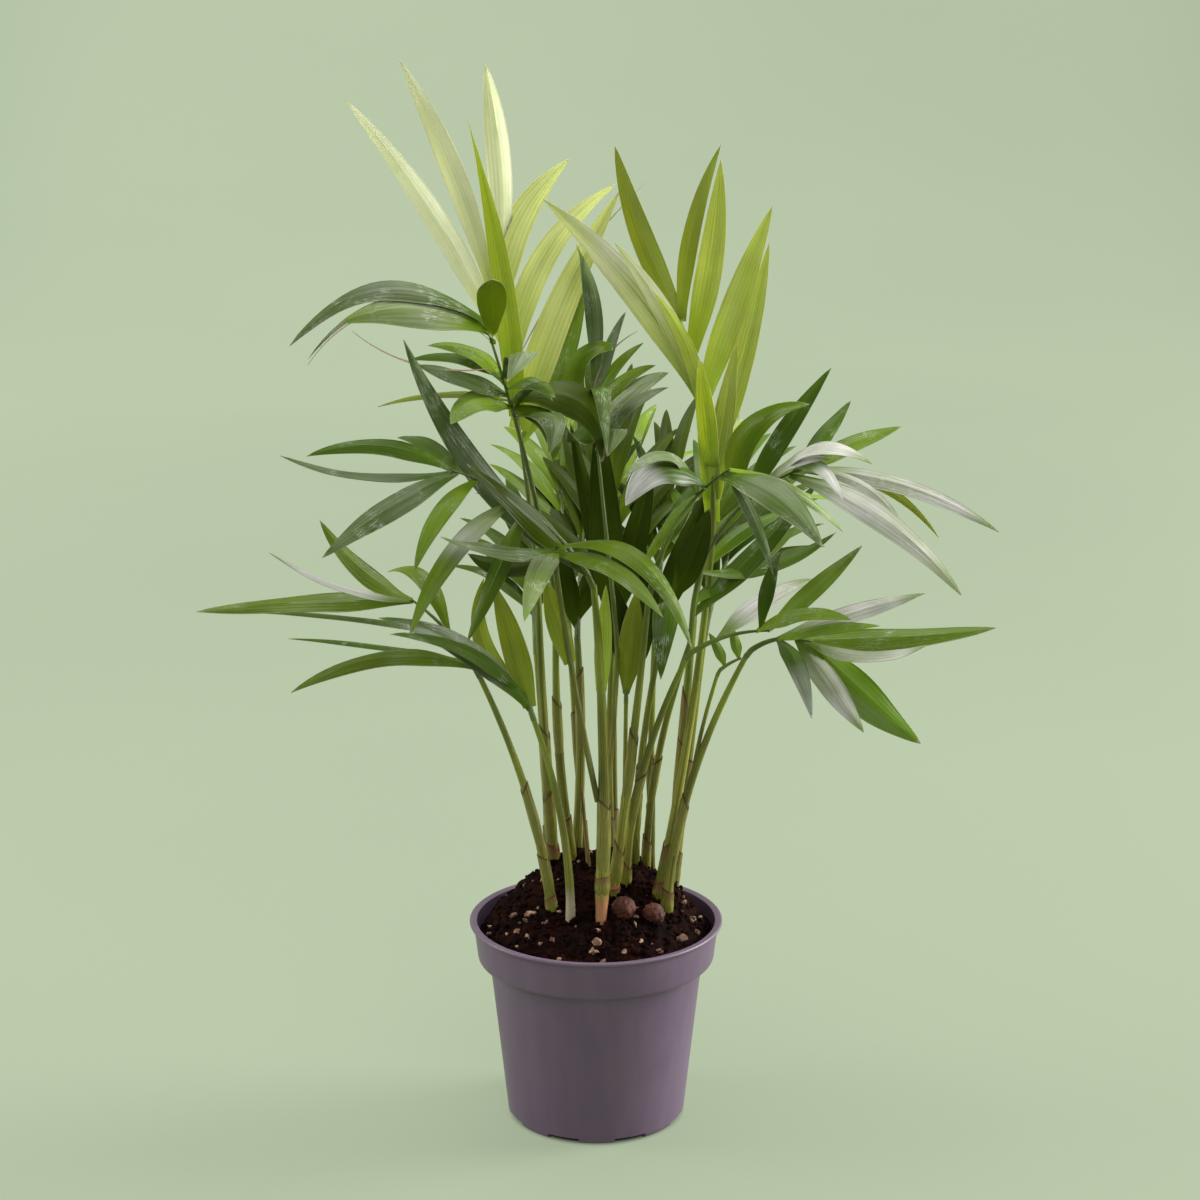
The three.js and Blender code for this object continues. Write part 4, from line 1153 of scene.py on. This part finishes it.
def stem_piece(name, row, seed):
    """A stem, ribbed along its length and swollen where its sheaths begin."""
    bend = stem_bend(row)
    scars = [first for first, *_ in row.sheaths]

    def place(angle, along):
        ribs = 1 + 0.03 * math.cos(7 * angle + seed) + 0.015 * math.cos(13 * angle)
        swell = 1 + sum(SCAR_SWELL * math.exp(-((along - scar) / SCAR_REACH) ** 2) for scar in scars)
        wander = 1 + 0.05 * noise.noise(Vector((seed * 3.1, along * 9, 0)))
        radius = stem_radius(row, along) * ribs * swell * wander
        marks = (math.sin(angle) + seed * 2.3, math.cos(angle), along)
        return round_point(bend.frame(along), radius, angle), marks

    bm = marked_mesh("stem")
    rolled_tube(bm, STEM_SIDES, STEM_RINGS, place)
    slot = "stem_dry" if row.base == "dry" else "stem"
    finish_piece(bm, "skin_" + name, [stem_material(row.base)], slot, [name])


def wrap_sheath(bm, row, sheath, seed):
    """A sheath that wraps a stem, its margin notched on one side and raised on the other."""
    bend = stem_bend(row)
    first, last, notch, raised, dryness = sheath
    reach = (bend.end - bend.start).length
    turned_by = math.radians(notch - 270)

    def place(angle, along):
        share = min(1.0, along / MARGIN)
        top = last + raised * MM / reach * abs(math.sin((angle - turned_by) / 2)) ** 0.8
        spot = first + (top - first) * share
        lift = SHEATH_LIFT + SHEATH_OPENING * smooth_step(0.0, 0.5, share)
        spread = Vector((math.cos(angle) * 2, math.sin(angle) * 2, seed + share * 3))
        frill = SHEATH_FRILL * noise.noise(spread)
        radius = stem_radius(row, spot) + (lift + frill) * MM
        if along > TURNED_IN:
            radius = stem_radius(row, spot) * 0.9
        marks = (abs(angle / math.pi - 1), along, dryness)
        return round_point(bend.frame(spot), radius, angle), marks

    rolled_tube(bm, SHEATH_SIDES, SHEATH_RINGS, place)


class PALM_OT_stems(Operator):
    """Grows every stem and stalk"""
    bl_idname = "palm.stems"
    bl_label = "Stems"

    def execute(self, context):
        for seed, (name, row) in enumerate(STEMS.items()):
            stem_piece(name, row, seed)
        return {"FINISHED"}


class PALM_OT_sheaths(Operator):
    """Wraps the stems in their old sheaths with dark dried margins"""
    bl_idname = "palm.sheaths"
    bl_label = "Sheaths"

    def execute(self, context):
        bm = marked_mesh("leaf")
        wraps = [(row, sheath) for row in STEMS.values() for sheath in row.sheaths]
        for seed, (row, sheath) in enumerate(wraps, start=1):
            wrap_sheath(bm, row, sheath, seed)
        finish_piece(bm, "old_sheaths", [sheath_material()], "stem")
        return {"FINISHED"}


# ---------------------------------------------------------------- fronds

# Faces along a blade, across it and across a thread. Up to the widths below, a blade is a
# thread and has two pleats. From the half-widths below on, it has its whole keel and pleats.
ALONG, ACROSS, ACROSS_THREAD = 20, 12, 4
THREAD_WIDTH, TWO_PLEATS_WIDTH = 3, 7
FULL_KEEL, FULL_PLEAT = 2.2 * MM, 4.5 * MM
RIPPLE = 0.12
RIB_SIDES, RIB_RINGS = 10, 18
# Ribs: the most at the foot, the radius at the tip, how far the foot clears the stem's tip and
# how deep its joint is sunk into it, in millimetres.
RIB_FOOT, RIB_TIP, RIB_GAP, RIB_SUNK = 1.5, 0.5, 0.4, 1.5


def outline_at(along, root, widest, taper):
    """Half-width of a leaflet as a share of its greatest."""
    root += (1 - root) * smooth_step(-0.05, widest * 0.95, along)
    beyond = max(0.0, (along - widest) / (1 - widest))
    return max(0.015, root * math.cos(beyond * math.pi / 2) ** taper)


def grow_leaflet(bm, start, leaf, face, shade, material_index):
    """One pleated blade with a keel, a waving edge and a twist, closed to its thickness."""
    sizes = bpy.context.scene.palm_leaf
    bend = bowed(start, leaf.heading, leaf.rise, leaf.reach * MM, leaf.bow)
    upper = face.copy()
    upper.rotate(Matrix.Rotation(math.radians(leaf.roll), 3, direction(leaf.heading, leaf.rise)))
    twist, sway = math.radians(leaf.twist), leaf.sway * leaf.reach * MM
    outline = (sizes.root_width if leaf.root is None else leaf.root,
               sizes.widest_at if leaf.widest is None else leaf.widest, leaf.taper)
    pleats = 3 if leaf.width > TWO_PLEATS_WIDTH else 2
    marks = bm.verts.layers.float_vector["leaf"]
    verts = bmesh.ops.create_grid(
        bm, x_segments=ACROSS if leaf.width > THREAD_WIDTH else ACROSS_THREAD,
        y_segments=ALONG, size=1)["verts"]
    for vert in verts:
        across, along = vert.co.x, (vert.co.y + 1) / 2
        middle, side, up = bend.frame(along, upper)
        spin = Matrix.Rotation(twist * along, 3, bend.tangent(along))
        side, up = spin @ side, spin @ up
        half = leaf.width / 2 * MM * outline_at(along, *outline)
        fall = (math.sqrt(across * across + 0.02) - 0.141) * math.tan(sizes.keel)
        wave = RIPPLE * across * across * math.sin(9 * along + 11 * shade + 1.9 * (across > 0))
        bent = half * (wave - fall) * min(1.0, half / FULL_KEEL)
        folds = math.cos(math.pi * pleats * 2 * across)
        pleat = sizes.pleat * min(1.0, half / FULL_PLEAT) ** 2 * folds
        middle = middle + side * (sway * 4 * along * (1 - along))
        vert.co = middle + side * (across * half) + up * (bent + pleat)
        vert[marks] = (across, along, shade)
    faces = list({f for v in verts for f in v.link_faces})
    edges = list({e for f in faces for e in f.edges})
    for made in faces:
        made.material_index = material_index
    bmesh.ops.recalc_face_normals(bm, faces=faces)
    bmesh.ops.solidify(bm, geom=verts + edges + faces, thickness=sizes.thickness)


def rib_bend(frond):
    """The bend of a frond's rib, which clears the stem's tip, and the radius at its foot."""
    stem = stem_bend(STEMS[frond.stem])
    heading, rise, reach, bow = frond.rib
    foot_radius = min(STEMS[frond.stem].radii[1], RIB_FOOT)
    lean = bowed(stem.end, heading, rise, reach * MM, bow).tangent(0).angle(stem.tangent(1))
    start = stem.end + stem.tangent(1) * ((RIB_GAP + foot_radius * math.sin(lean)) * MM)
    return bowed(start, heading, rise, reach * MM, bow), foot_radius


def paired_leaves(frond, dice):
    """Leaflets in pairs that close towards the tip of the rib, with a seeded unevenness."""
    heading, rise = frond.rib[:2]
    count, reach = frond.pairs
    leaves = []
    for i in range(count):
        share = i / (count - 1)
        spread = Paired.base_spread + (Paired.tip_spread - Paired.base_spread) * share
        full = reach * (1 - Paired.reach_loss * abs(share - Paired.longest_at))
        for side in (-1, 1):
            leaves.append(Leaf(
                place=(Paired.first_place + (1 - Paired.first_place) * share
                       - (Paired.stagger if side > 0 else 0)),
                heading=heading + side * spread + Paired.jitter * next(dice),
                rise=rise * Paired.rise_share - Paired.droop * (1 - share) + Paired.jitter * next(dice),
                reach=full * (1 + Paired.unevenness * next(dice)),
                bow=Paired.bow * (1 + Paired.bow_unevenness * next(dice)),
                width=Paired.width * (1 + Paired.width_unevenness * next(dice)),
                twist=Paired.twist * next(dice),
                sway=Paired.sway * next(dice)))
    return leaves


def rib_piece(name, frond, bend, foot_radius, joint):
    """The rib of a frond, drawn out to a joint inside the stem's tip."""
    face = direction(*frond.face)

    def place(angle, along):
        middle, side, out = bend.frame(along, face)
        ribs = 1 + 0.06 * math.cos(3 * angle)
        radius = (foot_radius + (RIB_TIP - foot_radius) * along) * MM * ribs
        marks = (math.sin(angle), math.cos(angle), 0.8 + 0.2 * along)
        return round_point((middle if along else joint, side, out), radius, angle), marks

    bm = marked_mesh("stem")
    rolled_tube(bm, RIB_SIDES, RIB_RINGS, place)
    skin = stem_material("green" if frond.tone in ("young", "bright") else "rib")
    finish_piece(bm, "rib_of_" + name, [skin], "stem")


class PALM_OT_fronds(Operator):
    """Grows each frond: its rib, then its pleated leaflets in their own greens"""
    bl_idname = "palm.fronds"
    bl_label = "Fronds"

    def execute(self, context):
        dice = seeded_noise(Paired.seed)
        for name, frond in FRONDS.items():
            stem = stem_bend(STEMS[frond.stem])
            bend, foot_radius = rib_bend(frond)
            joint = stem.end - stem.tangent(1) * RIB_SUNK * MM
            rib_piece(name, frond, bend, foot_radius, joint)
            leaves = list(frond.leaves)
            if frond.pairs:
                leaves += paired_leaves(frond, dice)
            tones = list(dict.fromkeys(leaf.tone or frond.tone for leaf in leaves))
            bm = marked_mesh("leaf")
            for leaf in leaves:
                shade = 0.5 + 0.5 * next(dice)
                start = bend.at(leaf.place) if leaf.place >= 0 else stem.at(1 + leaf.place)
                index = tones.index(leaf.tone or frond.tone)
                grow_leaflet(bm, start, leaf, direction(*frond.face), shade, index)
            finish_piece(bm, "leaves_of_" + name, [leaf_material(tone) for tone in tones],
                         "frond_" + (frond.slot or frond.tone), [name], angle=48)
        return {"FINISHED"}


# ---------------------------------------------------------------- the stage

# Lights: place, size, power and tint.
LIGHTS = {
    "top": ((0.0, 0.5, 2.3), 1.6, 42, (1.0, 0.99, 0.97)),
    "right": ((2.1, 0.5, 0.95), 1.2, 106, (1.0, 0.98, 0.97)),
    "left": ((-2.1, 0.2, 1.1), 1.2, 39, (1.0, 0.98, 0.97)),
    "front": ((0.5, -2.4, 1.7), 1.8, 22, (1.0, 0.99, 0.97)),
}
LIGHTS_AIM = Vector((0, 0, 0.25))
WORLD_TINT, WORLD_POWER = (0.93, 0.95, 0.9, 1), 0.36
CAMERA_PLACE, CAMERA_TILT, CAMERA_LENS, CAMERA_SENSOR = (0.0019, -1.2216, 0.566), 14.35, 82.0, 36.0
CAMERA_NEAREST, CAMERA_FARTHEST = 0.05, 60.0
# The floor: half its width, how far it reaches in front, its flat run, the radius of its sweep
# and the height of its upright part.
FLOOR_WIDTH, FLOOR_FRONT, FLOOR_RUN, SWEEP, UPRIGHT = 8.0, 3.0, 5.0, 2.0, 3
# How strongly the floor glows near the pot, farther out and at the back, and how much of its
# colour takes the light, in front and where the side lamps shine.
GLOW_NEAR, GLOW_OUT, GLOW_FAR = 0.605, 0.79, 0.86
MATT, MATT_SIDES = 0.18, 0.02
# Between which distances from the axis the glow sets in, from under the pot, leaving a painted shadow
# under its foot.
FOOT_SHADOW = (0.037, 0.0435)


def stand(name, data, place, rotation):
    made = bpy.data.objects.new(name, data)
    made.location, made.rotation_euler = place, rotation
    bpy.context.scene.collection.objects.link(made)
    return made


def swept_floor():
    """A floor that sweeps up into a backdrop behind the plant."""
    bm = bmesh.new()
    verts = bmesh.ops.create_grid(bm, x_segments=4, y_segments=60, size=1)["verts"]
    quarter = SWEEP * math.pi / 2
    for vert in verts:
        run = (vert.co.y + 1) / 2 * (FLOOR_RUN + quarter + UPRIGHT)
        y, z = run, 0.0
        if run > FLOOR_RUN:
            angle = min(run - FLOOR_RUN, quarter) / SWEEP
            y = FLOOR_RUN + SWEEP * math.sin(angle)
            z = SWEEP * (1 - math.cos(angle)) + max(0.0, run - FLOOR_RUN - quarter)
        vert.co = (vert.co.x * FLOOR_WIDTH, y - FLOOR_FRONT, z)
    bmesh.ops.recalc_face_normals(bm, faces=bm.faces)
    return bm


def backdrop_material():
    """An even floor that glows by itself, less near the pot and not at all under its foot, which paints
    a shadow there; its cast shadows stay soft.
    """
    material, kit, shader = new_material("backdrop")
    plain = palette().backdrop
    lighter = [min(1.0, c * 1.02) for c in plain[:3]] + [1.0]
    place = kit.place()
    tone = kit.mix(kit.clouds(place, 2.0, 2.0).between(0.3, 0.7), tuple(plain), lighter)
    x, y, z = kit.parts(place)
    out = kit.maths("SQRT", x * x + y * y)
    lamp_foot = kit.maths("ABSOLUTE", x).between(0.6, 1.3)
    glow = (out.between(0.9, 2.4, GLOW_NEAR, GLOW_OUT) + out.between(2.4, 6.0, 0.0, GLOW_FAR - GLOW_OUT)
            + x.between(-0.6, 0.6, 0.03, -0.03) + lamp_foot * 0.05)
    kit.put(tone, shader["Emission Color"])
    # Painted shadow: the glow fades out under the pot's foot, darkening the floor in the notches and
    # round the foot.
    kit.put(glow * out.between(*FOOT_SHADOW), shader["Emission Strength"])
    matt = lamp_foot.between(0.0, 1.0, MATT, MATT_SIDES)
    kit.put(kit.mix(matt, (0, 0, 0, 1), tone), shader["Base Color"])
    shader["Roughness"].default_value = 0.9
    shader["Specular IOR Level"].default_value = 0.1
    return material


class PALM_OT_stage(Operator):
    """Sets the floor and backdrop, the soft lights and the camera"""
    bl_idname = "palm.stage"
    bl_label = "Stage"

    def execute(self, context):
        floor = mesh_object(swept_floor(), "floor", [backdrop_material()], angle=50)
        for name, (place, size, power, tint) in LIGHTS.items():
            lamp = bpy.data.lights.new("light_" + name, "AREA")
            lamp.shape, lamp.size, lamp.energy, lamp.color = "DISK", size, power, tint
            aim = (LIGHTS_AIM - Vector(place)).to_track_quat("-Z", "Y").to_euler()
            stand("light_" + name, lamp, place, aim)
        lens = bpy.data.cameras.new("camera")
        lens.lens, lens.sensor_width = CAMERA_LENS, CAMERA_SENSOR
        lens.clip_start, lens.clip_end = CAMERA_NEAREST, CAMERA_FARTHEST
        tilt = (math.radians(90 - CAMERA_TILT), 0, 0)
        context.scene.camera = stand("camera", lens, CAMERA_PLACE, tilt)
        world = bpy.data.worlds.new("studio")
        world.use_nodes = True
        light = world.node_tree.nodes["Background"].inputs
        light["Color"].default_value = WORLD_TINT
        light["Strength"].default_value = WORLD_POWER
        context.scene.world = world
        context.scene.view_settings.view_transform = "Standard"
        return {"FINISHED"}


# ---------------------------------------------------------------- the add-on

STEPS = [PALM_OT_pot, PALM_OT_soil, PALM_OT_granules, PALM_OT_seeds, PALM_OT_stems,
         PALM_OT_sheaths, PALM_OT_fronds, PALM_OT_stage]


class PALM_PT_panel(Panel):
    """The palm's pieces, sizes and colours"""
    bl_idname = "PALM_PT_panel"
    bl_label = "Parlour Palm"
    bl_space_type = "VIEW_3D"
    bl_region_type = "UI"
    bl_category = "Palm"

    def draw(self, context):
        for step in STEPS:
            self.layout.operator(step.bl_idname)
        for name, group in GROUPS.items():
            box = self.layout.box()
            box.label(text=name.replace("palm_", "").capitalize())
            for title in group.__annotations__:
                box.prop(getattr(context.scene, name), title)


def register():
    for kind in [*GROUPS.values(), *STEPS, PALM_PT_panel]:
        bpy.utils.register_class(kind)
    for name, group in GROUPS.items():
        setattr(bpy.types.Scene, name, PointerProperty(type=group))


def unregister():
    for name in GROUPS:
        delattr(bpy.types.Scene, name)
    for kind in reversed([*GROUPS.values(), *STEPS, PALM_PT_panel]):
        bpy.utils.unregister_class(kind)


def main():
    register()
    for step in STEPS:
        family, action = step.bl_idname.split(".")
        getattr(getattr(bpy.ops, family), action)()


if __name__ == "__main__":
    main()
